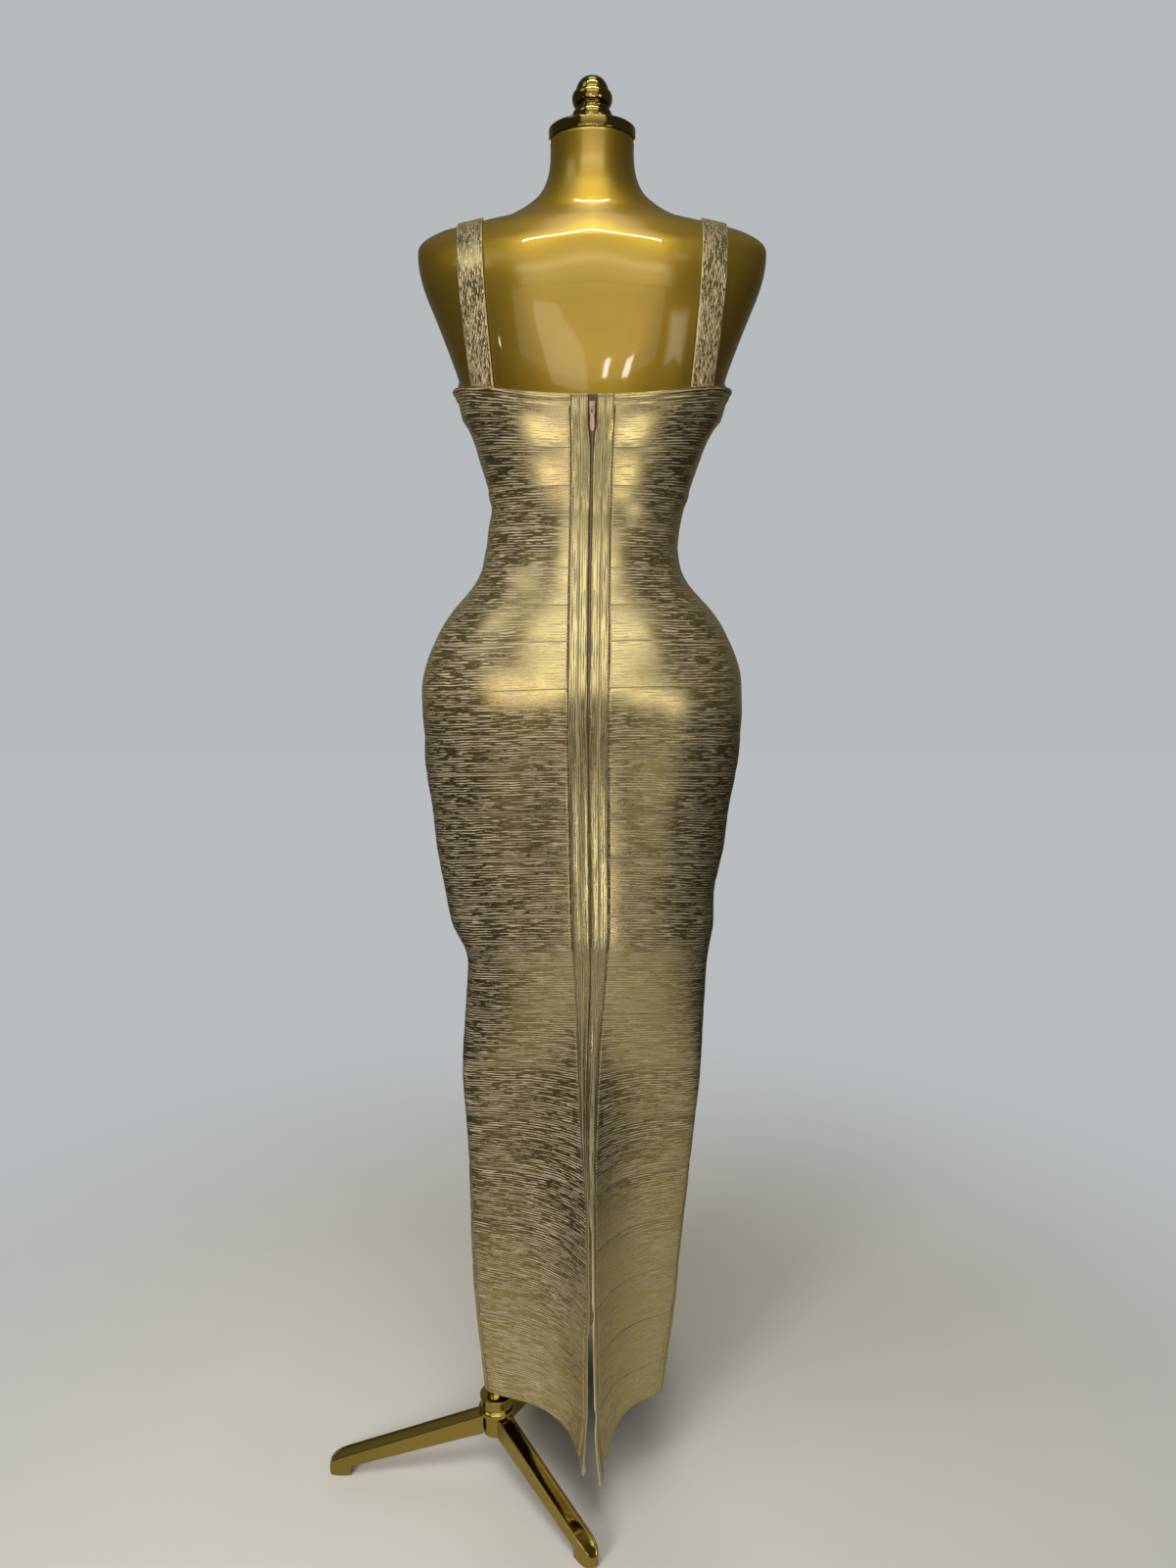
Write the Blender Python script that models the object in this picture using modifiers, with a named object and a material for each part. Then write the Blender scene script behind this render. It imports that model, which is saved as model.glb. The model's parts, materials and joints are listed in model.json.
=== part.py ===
"""Bodycon dress of sewn bandage strips, on a limbless dress form and an off-centre tripod stand.

Metres, +Z up.  The wearer's left is +X and the back of the dress faces +Y.  Shapes are worked out
about the form's own upright axis; the empty that carries them puts the whole assembly's middle over
the world origin, with the feet on the floor.
"""
import math

import bmesh
import bpy
from mathutils import Matrix, Vector
from mathutils.bvhtree import BVHTree

# ---- cloth --------------------------------------------------------------------------------------
CLOTH_WALL = 0.0020         # two layers of foiled bandage knit
CLOTH_EASE = 0.0012         # inner face of the cloth above the body surface
TOP_EASE = 0.0042           # more room near the top edge, where straps and zip tape pass behind
TOP_EASE_DEPTH = 0.045      # how far below the top edge that room has run out
STRIP_CROWN = 0.0008        # middle of a strip above its seams
SIDE_BUCKLE = 0.0022        # buckle of the top strip at the underarm
SIDE_LIP = 0.0025           # the top edge stands away at the underarm
SEAM_GAP = 0.0003           # between pieces that are sewn edge to edge

SEAM_HEIGHTS = (1.2885, 1.243, 1.198, 1.153, 1.112, 1.072, 1.020, 0.968, 0.9225, 0.872, 0.818,
                0.747, 0.687, 0.6265, 0.5575, 0.491, 0.423, 0.357, 0.289, 0.225, 0.157)
FRONT_SEAM = 1.338          # one more strip in front, cut across by the neckline
HEM_HEIGHT = 0.108
HEM_DROP = {1: 0.037, -1: 0.058}    # how far each slit corner hangs lower, left and right
HEM_DROP_REACH = 0.012
TOP_EDGE = 1.352            # top edge at the underarm
TOP_EDGE_DIP = 0.0165       # lower at the centre back
TOP_DIP_FROM = 1.243        # seams above this one share in the dip
FRONT_RISE = 0.048          # neckline above the underarm, over the bust
FRONT_DIP = 0.008           # and its dip at the centre front
SEAM_LIFT = 0.024           # seams ride up over the seat
SEAM_LIFT_HEIGHT = 0.78
SEAM_LIFT_SPREAD = 0.26
SEAM_TILT = 0.0055          # right side higher than left across the hips
SEAM_TILT_HEIGHT = 1.02
SEAM_TILT_SPREAD = 0.06
BINDING_WIDTH = 0.012
BINDING_WALL = 0.0030
BINDING_GAP = 0.0006
SIDE_SEAM_TURN = math.radians(90)
HEM_SEAM_TURN = math.radians(74)    # the side seams swing to the back below the form
BACK_COLUMNS = 8
FRONT_COLUMNS = 16

# ---- straps -------------------------------------------------------------------------------------
STRAP_WIDTH = 0.027
STRAP_WALL = 0.0016
STRAP_EASE = 0.0014
STRAP_BACK_X = 0.112
STRAP_TOP_X = 0.131
STRAP_FRONT_X = 0.103
STRAP_BACK_END = 1.318
STRAP_FRONT_END = 1.378
STRAP_RAY_HEIGHT = 1.43     # rays from here, at the body's middle, meet the surface all the way over
STRAP_ROWS = 44
STRAP_COLUMNS = 3

# ---- zip ----------------------------------------------------------------------------------------
ZIP_END = 0.984
ZIP_TAPE_WIDTH = 0.0108
ZIP_TAPE_WALL = 0.0008
ZIP_TAPE_MIDDLE = 0.0002
ZIP_TAPE_GAP = 0.0006       # between the tape and the placket in front of it
ZIP_TAPE_TOP = 0.004        # below the top edge
SLIDER_HEIGHT = 1.3225      # of the pull's pivot
SLIDER_WIDTH = 0.0068
SLIDER_DEPTH = 0.0024
SLIDER_LENGTH = 0.0120
PIVOT_ABOVE_SLIDER = 0.0013
BRIDGE_RADIUS = 0.0006
BRIDGE_HALF_LENGTH = 0.0038
BRIDGE_RISE = 0.0018
PULL_LENGTH = 0.0240
PULL_NECK = 0.0023          # half width beside the window
PULL_BELLY = 0.0027         # half width of the drop
PULL_BAR = 0.0006           # half thickness of the pull and of its cross bar
PULL_WINDOW = 0.0013
PULL_WINDOW_END = 0.0056

# ---- form ---------------------------------------------------------------------------------------
FORM_WALL = 0.003
FORM_EASE = 0.0030          # the form is this much slimmer where the dress covers it
FORM_EASE_FROM = 0.008      # depths below the dress's top edge
FORM_EASE_TO = 0.050
FORM_BOTTOM = 0.728
NECK_TOP = 1.6077
FORM_COLUMNS = 48
FORM_HEIGHTS = (0.747, 0.783, 0.818, 0.872, 0.9225, 0.968, 1.010, 1.040, 1.072, 1.106, 1.140,
                1.173, 1.198, 1.225, 1.260, 1.2885, 1.312, 1.335, 1.3655, 1.397, 1.430, 1.458,
                1.476, 1.489, 1.498, 1.507, 1.513, 1.518, 1.524, 1.531, 1.540, 1.551, 1.566, 1.585)
PLATE_THICKNESS = 0.004
PLATE_GAP = 0.0006
CAP_PROFILE = ((0.0, 0.0140), (0.0300, 0.0137), (0.0432, 0.0130), (0.0462, 0.0112),
               (0.0465, 0.0014), (0.0457, 0.0), (0.0398, 0.0), (0.0398, -0.0060), (0.0, -0.0060))
FINIAL_PROFILE = ((0.0, 0.0502), (0.0080, 0.0484), (0.0135, 0.0445), (0.0170, 0.0390),
                  (0.0180, 0.0350), (0.0198, 0.0335), (0.0214, 0.0290), (0.0216, 0.0265),
                  (0.0206, 0.0215), (0.0186, 0.0170), (0.0204, 0.0135), (0.0214, 0.0095),
                  (0.0208, 0.0055), (0.0182, 0.0020), (0.0176, 0.0), (0.0, 0.0))

# ---- stand --------------------------------------------------------------------------------------
POLE_X = 0.124              # the pole stands under the left thigh
POLE_RADIUS = 0.0110
POLE_BORE = 0.0090
POLE_BOTTOM = 0.046
BORE_CLEARANCE = 0.0004
SOCKET_RADIUS = 0.0145
SOCKET_TOP = 0.803
SOCKET_LID = 0.0035
FLANGE_RADIUS = 0.0220
FLANGE_THICKNESS = 0.0030
HUB_TOP = 0.0930
HUB_RADIUS = 0.0200
HUB_FLARE_RADIUS = 0.0235
HUB_FLARE_TOP = 0.0780
HUB_FLARE_BOTTOM = 0.0728
HUB_CORE_RADIUS = 0.0182
HUB_BOTTOM = 0.0440
COLLAR_TOP = 0.0975
COLLAR_RADIUS = 0.0215
LEG_ANGLES = {"leg_left": 6.0, "leg_back": 126.0, "leg_front": 246.0}   # degrees about the pole
LEG_OUTLINE = ((0.0185, 0.0725), (0.1980, 0.0270), (0.2080, 0.0235), (0.2140, 0.0180),
               (0.2170, 0.0110), (0.2165, 0.0025), (0.2150, 0.0), (0.1890, 0.0),
               (0.1890, 0.0125), (0.0185, 0.0460))
LEG_HALF_WIDTHS = ((0.0185, 0.0108), (0.1980, 0.0108), (0.2080, 0.0096), (0.2140, 0.0074),
                   (0.2170, 0.0045))
LEG_ROUNDING = 0.0015
FACE_SEGMENTS = 32

# ---- body sections ------------------------------------------------------------------------------
# Extents of the body surface from the form's axis, bottom to top.  "widest" is where along Y the
# section is widest, "square" is the exponent of its superellipse and "prow" is how far the slit
# edges stand out behind.  Below the form the rows carry the skirt alone.
SECTION_COLUMNS = ("height", "left", "right", "front", "back", "widest", "square", "prow")
SECTIONS = (
    (0.0500, 0.1335, 0.0870, 0.1200, 0.0200, 0.000, 3.00, 0.088),
    (0.1080, 0.1360, 0.0905, 0.1215, 0.0205, 0.000, 3.00, 0.092),
    (0.2250, 0.1456, 0.1038, 0.1245, 0.0205, 0.000, 3.00, 0.097),
    (0.3000, 0.1490, 0.1095, 0.1255, 0.0200, 0.000, 3.00, 0.094),
    (0.4300, 0.1507, 0.1208, 0.1265, 0.0195, 0.000, 2.90, 0.072),
    (0.5470, 0.1560, 0.1310, 0.1245, 0.0270, 0.000, 2.60, 0.040),
    (0.6200, 0.1515, 0.1335, 0.1210, 0.0480, 0.000, 2.35, 0.014),
    (0.6900, 0.1470, 0.1365, 0.1170, 0.0725, 0.000, 2.20, 0.0),
    (0.7120, 0.1520, 0.1390, 0.1180, 0.0805, 0.000, 2.20, 0.0),
    (0.7350, 0.1640, 0.1430, 0.1190, 0.0860, 0.001, 2.20, 0.0),
    (0.7800, 0.1720, 0.1430, 0.1210, 0.0920, 0.002, 2.20, 0.0),
    (0.8300, 0.1800, 0.1525, 0.1220, 0.0990, 0.004, 2.20, 0.0),
    (0.8800, 0.1844, 0.1580, 0.1220, 0.1070, 0.005, 2.20, 0.0),
    (0.9300, 0.1910, 0.1665, 0.1200, 0.1150, 0.005, 2.20, 0.0),
    (0.9700, 0.1918, 0.1700, 0.1170, 0.1200, 0.005, 2.20, 0.0),
    (1.0100, 0.1935, 0.1702, 0.1140, 0.1220, 0.005, 2.20, 0.0),
    (1.0400, 0.1895, 0.1670, 0.1110, 0.1190, 0.004, 2.20, 0.0),
    (1.0750, 0.1760, 0.1540, 0.1070, 0.1110, 0.002, 2.20, 0.0),
    (1.1060, 0.1565, 0.1350, 0.1020, 0.1000, 0.000, 2.20, 0.0),
    (1.1400, 0.1290, 0.1052, 0.0970, 0.0860, -0.003, 2.20, 0.0),
    (1.1730, 0.1185, 0.0950, 0.0920, 0.0750, -0.006, 2.20, 0.0),
    (1.2000, 0.1150, 0.0970, 0.0890, 0.0700, -0.008, 2.20, 0.0),
    (1.2250, 0.1105, 0.1015, 0.0880, 0.0690, -0.008, 2.20, 0.0),
    (1.2860, 0.1265, 0.1220, 0.0940, 0.0810, -0.005, 2.20, 0.0),
    (1.3350, 0.1410, 0.1415, 0.1000, 0.0910, -0.003, 2.30, 0.0),
    (1.3655, 0.1496, 0.1494, 0.1010, 0.0955, -0.002, 2.35, 0.0),
    (1.4120, 0.1668, 0.1668, 0.0980, 0.0980, 0.000, 2.30, 0.0),
    (1.4580, 0.1848, 0.1848, 0.0860, 0.0968, 0.000, 2.15, 0.0),
    (1.4890, 0.1905, 0.1905, 0.0740, 0.0900, 0.000, 1.80, 0.0),
    (1.5040, 0.1864, 0.1864, 0.0670, 0.0825, 0.001, 1.50, 0.0),
    (1.5160, 0.1650, 0.1650, 0.0590, 0.0742, 0.002, 1.40, 0.0),
    (1.5220, 0.1390, 0.1390, 0.0550, 0.0690, 0.002, 1.42, 0.0),
    (1.5295, 0.0990, 0.0990, 0.0500, 0.0638, 0.001, 1.50, 0.0),
    (1.5450, 0.0665, 0.0665, 0.0460, 0.0572, 0.000, 1.75, 0.0),
    (1.5610, 0.0520, 0.0520, 0.0440, 0.0515, 0.000, 1.90, 0.0),
    (1.5850, 0.0455, 0.0455, 0.0445, 0.0468, 0.000, 2.00, 0.0),
    (1.6200, 0.0455, 0.0455, 0.0455, 0.0455, 0.000, 2.00, 0.0),
)
FRONT_SQUARE_MOST = 2.6
PROW_REACH = 0.33           # how fast the prow dies away, as a share of the half width

# Mounds and hollows added to the sections: side of the body, middle, spreads and size.
SWELL_COLUMNS = ("face", "x", "height", "spread_x", "spread_z", "out")
SWELLS = (
    (-1, 0.075, 1.333, 0.060, 0.050, 0.034),
    (-1, -0.075, 1.333, 0.060, 0.050, 0.034),
    (1, 0.070, 1.430, 0.045, 0.050, 0.005),
    (1, -0.070, 1.430, 0.045, 0.050, 0.005),
)

# Half gap between the two plackets, half distance across both, and where their middle runs.
PLACKET_COLUMNS = ("height", "inner", "outer", "middle")
PLACKETS = (
    (0.0500, 0.0100, 0.0150, 0.0000),
    (0.0800, 0.0075, 0.0120, 0.0005),
    (0.1050, 0.0050, 0.0090, 0.0008),
    (0.1520, 0.0032, 0.0066, 0.0000),
    (0.2500, 0.0020, 0.0052, 0.0008),
    (0.2850, 0.0006, 0.0036, 0.0000),
    (0.3780, 0.0004, 0.0034, 0.0006),
    (0.4100, 0.0004, 0.0040, 0.0012),
    (0.4700, 0.0004, 0.0062, 0.0040),
    (0.5350, 0.0004, 0.0096, 0.0045),
    (0.5950, 0.0003, 0.0124, 0.0040),
    (0.6500, 0.00015, 0.0150, 0.0028),
    (0.6900, 0.00015, 0.0170, 0.0020),
    (0.7500, 0.00015, 0.0205, 0.0020),
    (0.9760, 0.00015, 0.0210, 0.0045),
    (0.9900, 0.0014, 0.0212, 0.0044),
    (1.1500, 0.0014, 0.0214, 0.0028),
    (1.2805, 0.0014, 0.0215, 0.0005),
    (1.3080, 0.0042, 0.0225, 0.0),
    (1.3600, 0.0046, 0.0225, 0.0),
)


# ---- curves through the tables ------------------------------------------------------------------
def read_smooth(table, columns, height):
    """One row of the table at a height, on a smooth curve through its rows."""
    rows = [row for row in table]
    height = min(max(height, rows[0][0]), rows[-1][0])
    index = 0
    while index < len(rows) - 2 and rows[index + 1][0] <= height:
        index += 1
    low, high = rows[index], rows[index + 1]
    before = rows[max(index - 1, 0)]
    after = rows[min(index + 2, len(rows) - 1)]
    step = high[0] - low[0]
    share = (height - low[0]) / step
    values = {}
    for column, name in enumerate(columns):
        slope_low = (high[column] - before[column]) / (high[0] - before[0]) * step
        slope_high = (after[column] - low[column]) / (after[0] - low[0]) * step
        values[name] = ((2 * share ** 3 - 3 * share ** 2 + 1) * low[column]
                        + (share ** 3 - 2 * share ** 2 + share) * slope_low
                        + (3 * share ** 2 - 2 * share ** 3) * high[column]
                        + (share ** 3 - share ** 2) * slope_high)
    return values


def read_straight(table, columns, height):
    """One row of the table at a height, on straight lines between its rows."""
    rows = [row for row in table]
    height = min(max(height, rows[0][0]), rows[-1][0])
    index = 0
    while index < len(rows) - 2 and rows[index + 1][0] <= height:
        index += 1
    low, high = rows[index], rows[index + 1]
    share = (height - low[0]) / (high[0] - low[0])
    return {name: low[column] + share * (high[column] - low[column])
            for column, name in enumerate(columns)}


def ramp(value, start, end):
    """0 before start, 1 after end, smooth between."""
    share = min(max((value - start) / (end - start), 0.0), 1.0)
    return share * share * (3 - 2 * share)


def bell(offset, spread):
    return math.exp(-(offset / spread) ** 2)


# ---- the body surface ---------------------------------------------------------------------------
def placket_row(height):
    return read_straight(PLACKETS, PLACKET_COLUMNS, height)


def swell(x, height, facing):
    """How far mounds move the surface along Y; facing is +1 at the back and -1 in front."""
    total = 0.0
    for row in SWELLS:
        mound = dict(zip(SWELL_COLUMNS, row))
        if mound["face"] * facing > 0:
            size = mound["out"] * bell(x - mound["x"], mound["spread_x"])
            total += mound["face"] * size * bell(height - mound["height"], mound["spread_z"])
    return total * min(abs(facing) * 3, 1.0)


def body_point(height, turn):
    """Point of the body surface; turn is 0 at the centre back and grows to the wearer's left."""
    row = read_smooth(SECTIONS, SECTION_COLUMNS, height)
    sine, cosine = math.sin(turn), math.cos(turn)
    side = row["left"] if sine >= 0 else row["right"]
    square = row["square"] if cosine >= 0 else min(row["square"], FRONT_SQUARE_MOST)
    reach = row["back"] - row["widest"] if cosine >= 0 else row["front"] + row["widest"]
    x = side * math.copysign(abs(sine) ** (2 / square), sine)
    y = row["widest"] + reach * math.copysign(abs(cosine) ** (2 / square), cosine)
    if cosine > 0 and row["prow"] > 0:
        from_gap = max(abs(x) - placket_row(height)["inner"], 0.0)
        rest = math.exp(-1 / PROW_REACH)
        y += row["prow"] * (math.exp(-from_gap / side / PROW_REACH) - rest) / (1 - rest)
    return Vector((x, y + swell(x, height, cosine), height))


def body_frame(height, turn):
    """Point, unit direction of growing turn and unit outward normal of the body surface."""
    point = body_point(height, turn)
    nudge = 0.015
    first = turn - nudge
    if 0 <= turn < nudge:
        first = 0.0
    last = turn + nudge
    if -nudge < turn < 0:
        last = -1e-6
    across = (body_point(height, last) - body_point(height, first)).normalized()
    rise = 0.003
    upward = (body_point(height + rise, turn) - body_point(height - rise, turn)).normalized()
    return point, across, upward.cross(across).normalized()


def turn_of_x(height, x):
    """Turn, at the back, of the body point that is x to the side."""
    row = read_smooth(SECTIONS, SECTION_COLUMNS, height)
    side = row["left"] if x >= 0 else row["right"]
    return math.copysign(math.asin((abs(x) / side) ** (row["square"] / 2)), x)


# ---- where cloth rows run -----------------------------------------------------------------------
def seam_level(height, turn):
    """Height, at a turn, of a strip seam that lies at the given height at the side."""
    behind = max(math.cos(turn), 0.0)
    lift = SEAM_LIFT * bell(height - SEAM_LIFT_HEIGHT, SEAM_LIFT_SPREAD) * behind ** 1.5
    tilt = SEAM_TILT * bell(height - SEAM_TILT_HEIGHT, SEAM_TILT_SPREAD) * math.sin(turn)
    share = min(max((height - TOP_DIP_FROM) / (TOP_EDGE - TOP_DIP_FROM), 0.0), 1.0)
    return height + lift - tilt - TOP_EDGE_DIP * share * behind ** 3


def top_edge(turn):
    """Height of the dress's top edge."""
    ahead = max(-math.cos(turn), 0.0)
    rise = FRONT_RISE * ramp(ahead, 0.0, 0.75) - FRONT_DIP * ramp(ahead, 0.75, 1.0)
    return seam_level(TOP_EDGE, turn) + rise


def hem_edge(turn):
    """Height of the hem, which drops to a point at each edge of the slit."""
    if math.cos(turn) <= 0:
        return HEM_HEIGHT
    side = 1 if turn >= 0 else -1
    gap = placket_row(HEM_HEIGHT - HEM_DROP[side])["inner"]
    x = abs(body_point(HEM_HEIGHT, turn).x)
    return HEM_HEIGHT - HEM_DROP[side] * math.exp(-max(x - gap, 0.0) / HEM_DROP_REACH)


def cloth_rows(seams):
    """Rows of a panel from hem to top: pairs of a height function and a crown."""
    edges = [hem_edge]
    edges += [lambda turn, level=level: seam_level(level, turn) for level in reversed(seams)]
    edges.append(lambda turn: top_edge(turn) - BINDING_WIDTH - BINDING_GAP)
    rows = []
    for low, high in zip(edges, edges[1:]):
        rows.append((low, 0.0))
        rows.append((lambda turn, a=low, b=high: (a(turn) + b(turn)) / 2, STRIP_CROWN))
    rows.append((edges[-1], 0.0))
    return rows


def cloth_ease(height, turn):
    """Distance from the body surface to the cloth's inner face."""
    depth = top_edge(turn) - height
    near_top = 1 - ramp(depth, 0.6 * TOP_EASE_DEPTH, TOP_EASE_DEPTH)
    side = abs(math.sin(turn)) ** 6
    lip = SIDE_LIP * bell(depth, 0.010) + SIDE_BUCKLE * bell(depth - 0.032, 0.014)
    return CLOTH_EASE + (TOP_EASE - CLOTH_EASE) * near_top + side * lip


def side_seam_turn(height):
    """Turn of the side seams, which swing to the back in the lower skirt."""
    share = ramp(height, SEAM_HEIGHTS[-1], FORM_BOTTOM)
    return HEM_SEAM_TURN + (SIDE_SEAM_TURN - HEM_SEAM_TURN) * share


# ---- solids from grids --------------------------------------------------------------------------
def wall_mesh(name, under, over, closed=False):
    """Closed wall between two grids of points, the under face and the over face of a cloth."""
    rows, columns = len(under), len(under[0])
    mesh = bmesh.new()
    inner = [[mesh.verts.new(point) for point in row] for row in under]
    outer = [[mesh.verts.new(point) for point in row] for row in over]
    last = columns if closed else columns - 1
    for row in range(rows - 1):
        for column in range(last):
            right = (column + 1) % columns
            mesh.faces.new((outer[row][column], outer[row][right],
                            outer[row + 1][right], outer[row + 1][column]))
            mesh.faces.new((inner[row][column], inner[row + 1][column],
                            inner[row + 1][right], inner[row][right]))
    for column in range(last):
        right = (column + 1) % columns
        mesh.faces.new((inner[0][column], inner[0][right], outer[0][right], outer[0][column]))
        mesh.faces.new((outer[-1][column], outer[-1][right], inner[-1][right], inner[-1][column]))
    if not closed:
        for row in range(rows - 1):
            mesh.faces.new((inner[row + 1][0], inner[row][0], outer[row][0], outer[row + 1][0]))
            mesh.faces.new((inner[row][-1], inner[row + 1][-1],
                            outer[row + 1][-1], outer[row][-1]))
    bmesh.ops.recalc_face_normals(mesh, faces=mesh.faces)
    data = bpy.data.meshes.new(name)
    mesh.to_mesh(data)
    mesh.free()
    return data


def add_object(name, data, material, parent, location=(0.0, 0.0, 0.0), smooth_angle=None):
    """Link a named object under a parent."""
    if smooth_angle is not None:
        data.shade_smooth()
        data.set_sharp_from_angle(angle=math.radians(smooth_angle))
    thing = bpy.data.objects.new(name, data)
    thing.parent = parent
    thing.location = location
    data.materials.append(material)
    PARTS.objects.link(thing)
    return thing


def turned(name, profile, material, parent, location, closed=False):
    """Turned piece: a profile of (radius, height) points, outer side top to bottom, screwed."""
    data = bpy.data.meshes.new(name)
    count = len(profile)
    edges = [(index, index + 1) for index in range(count - 1)]
    if closed:
        edges.append((count - 1, 0))
    data.from_pydata([(radius, 0.0, height) for radius, height in profile], edges, [])
    thing = add_object(name, data, material, parent, location)
    screw = thing.modifiers.new("Turn", "SCREW")
    screw.steps = FACE_SEGMENTS
    screw.render_steps = FACE_SEGMENTS
    screw.use_merge_vertices = True
    screw.merge_threshold = 0.00001
    screw.use_smooth_shade = True
    return thing


def paint(name, colour, metallic, roughness, coat=0.0):
    """Material of one finish."""
    material = bpy.data.materials.new(name)
    material.use_nodes = True
    shader = material.node_tree.nodes["Principled BSDF"]
    shader.inputs["Base Color"].default_value = (*colour, 1.0)
    shader.inputs["Metallic"].default_value = metallic
    shader.inputs["Roughness"].default_value = roughness
    shader.inputs["Coat Weight"].default_value = coat
    return material


# ---- dress --------------------------------------------------------------------------------------
def cloth_points(height, turn, crown, shift, wall, ease_less=0.0):
    """Under and over points of the cloth; shift moves them along the row for a seam gap."""
    point, across, outward = body_frame(height, turn)
    under = point + across * shift + outward * (cloth_ease(height, turn) + crown - ease_less)
    return under, under + outward * wall


def placket_turn(height, side, column):
    """Turn of the placket's inner or outer edge."""
    row = placket_row(height)
    return turn_of_x(height, row["middle"] + side * row[column])


def back_panel(name, side, material, parent):
    """Half of the back: strips sewn edge to edge, from the placket to the side seam."""
    under, over = [], []
    for level, crown in cloth_rows(SEAM_HEIGHTS):
        under_row, over_row = [], []
        for column in range(BACK_COLUMNS + 1):
            share = column / BACK_COLUMNS
            guess = level(side * 0.1)
            start = abs(placket_turn(guess, side, "outer"))
            turn = side * (start + share * (side_seam_turn(guess) - start))
            height = level(turn)
            start = abs(placket_turn(height, side, "outer"))
            turn = side * (start + share * (side_seam_turn(height) - start))
            gap = {0: SEAM_GAP / 2, BACK_COLUMNS: -SEAM_GAP / 2}.get(column, 0.0)
            pair = cloth_points(height, turn, crown, side * gap, CLOTH_WALL)
            under_row.append(pair[0])
            over_row.append(pair[1])
        under.append(under_row)
        over.append(over_row)
    return add_object(name, wall_mesh(name, under, over), material, parent, smooth_angle=50)


def front_panel(name, material, parent):
    """Front of strips sewn edge to edge, from side seam to side seam."""
    under, over = [], []
    for level, crown in cloth_rows((FRONT_SEAM,) + SEAM_HEIGHTS):
        under_row, over_row = [], []
        for column in range(FRONT_COLUMNS + 1):
            share = column / FRONT_COLUMNS
            start = side_seam_turn(level(math.pi))
            turn = start + share * (2 * math.pi - 2 * start)
            height = level(turn)
            gap = {0: SEAM_GAP / 2, FRONT_COLUMNS: -SEAM_GAP / 2}.get(column, 0.0)
            pair = cloth_points(height, turn, crown, gap, CLOTH_WALL)
            under_row.append(pair[0])
            over_row.append(pair[1])
        under.append(under_row)
        over.append(over_row)
    return add_object(name, wall_mesh(name, under, over), material, parent, smooth_angle=50)


def placket_rows(side):
    """Rows of a placket: pairs of a height function and the height at the slit's edge."""
    rows = []
    for level, _ in cloth_rows(SEAM_HEIGHTS)[:-1]:
        height = level(side * 1e-4)
        if level is hem_edge or not rows:
            height = HEM_HEIGHT - HEM_DROP[side]
        rows.append((level, height))
    rows.append((top_edge, top_edge(side * 1e-4)))
    return rows


def placket(name, side, material, parent):
    """Upright strip beside the zip, which runs on down the slit's edge."""
    under, over = [], []
    for level, height in placket_rows(side):
        row = placket_row(height)
        turn = placket_turn(height, side, "inner")
        edge_under, edge_over = cloth_points(height, turn, 0.0, 0.0, CLOTH_WALL)
        move = row["middle"] + side * row["inner"] - edge_under.x
        edge_under.x += move
        edge_over.x += move
        height = level(placket_turn(height, side, "outer"))
        turn = placket_turn(height, side, "outer")
        joint_under, joint_over = cloth_points(height, turn, 0.0, -side * SEAM_GAP / 2, CLOTH_WALL)
        under.append([edge_under, joint_under])
        over.append([edge_over, joint_over])
    return add_object(name, wall_mesh(name, under, over), material, parent, smooth_angle=50)


def binding_turns(height):
    """Turns of the binding's columns, from the left placket round the front to the right one."""
    start = placket_turn(height, 1, "outer")
    stop = placket_turn(height, -1, "outer")
    turns = [start + (SIDE_SEAM_TURN - start) * column / BACK_COLUMNS
             for column in range(BACK_COLUMNS)]
    turns += [SIDE_SEAM_TURN + math.pi * column / FRONT_COLUMNS
              for column in range(FRONT_COLUMNS)]
    turns += [(SIDE_SEAM_TURN + stop) * column / BACK_COLUMNS - SIDE_SEAM_TURN
              for column in range(BACK_COLUMNS + 1)]
    return [math.remainder(turn, 2 * math.pi) for turn in turns]


def top_binding(name, material, parent):
    """Rolled band along the top edge, from placket to placket round the front."""
    under, over = [], []
    for drop, bulge in ((BINDING_WIDTH, -0.0008), (BINDING_WIDTH / 2, 0.0), (0.0, -0.0008)):
        under_row, over_row = [], []
        turns = binding_turns(top_edge(0.0) - drop)
        for index, turn in enumerate(turns):
            gap = {0: SEAM_GAP, len(turns) - 1: -SEAM_GAP}.get(index, 0.0)
            pair = cloth_points(top_edge(turn) - drop, turn, 0.0, gap, BINDING_WALL + bulge)
            under_row.append(pair[0])
            over_row.append(pair[1])
        under.append(under_row)
        over.append(over_row)
    return add_object(name, wall_mesh(name, under, over), material, parent, smooth_angle=50)


def zip_tape(name, side, material, parent):
    """Tape of the concealed zip, behind the placket and in step with its rows."""
    heights = [height for _, height in placket_rows(side)]
    heights = [height for height in heights if height > ZIP_END]
    under, over = [], []
    for height in heights:
        under_row, over_row = [], []
        for x in (ZIP_TAPE_MIDDLE, ZIP_TAPE_WIDTH):
            turn = turn_of_x(height, placket_row(height)["middle"] + side * x)
            less = ZIP_TAPE_GAP + ZIP_TAPE_WALL
            pair = cloth_points(height, turn, 0.0, 0.0, ZIP_TAPE_WALL, less)
            under_row.append(pair[0])
            over_row.append(pair[1])
        under.append(under_row)
        over.append(over_row)
    share = ZIP_TAPE_TOP / (heights[-1] - heights[-2])
    for grid in (under, over):
        grid[-1] = [top.lerp(low, share) for top, low in zip(grid[-1], grid[-2])]
    return add_object(name, wall_mesh(name, under, over), material, parent, smooth_angle=50)


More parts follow.
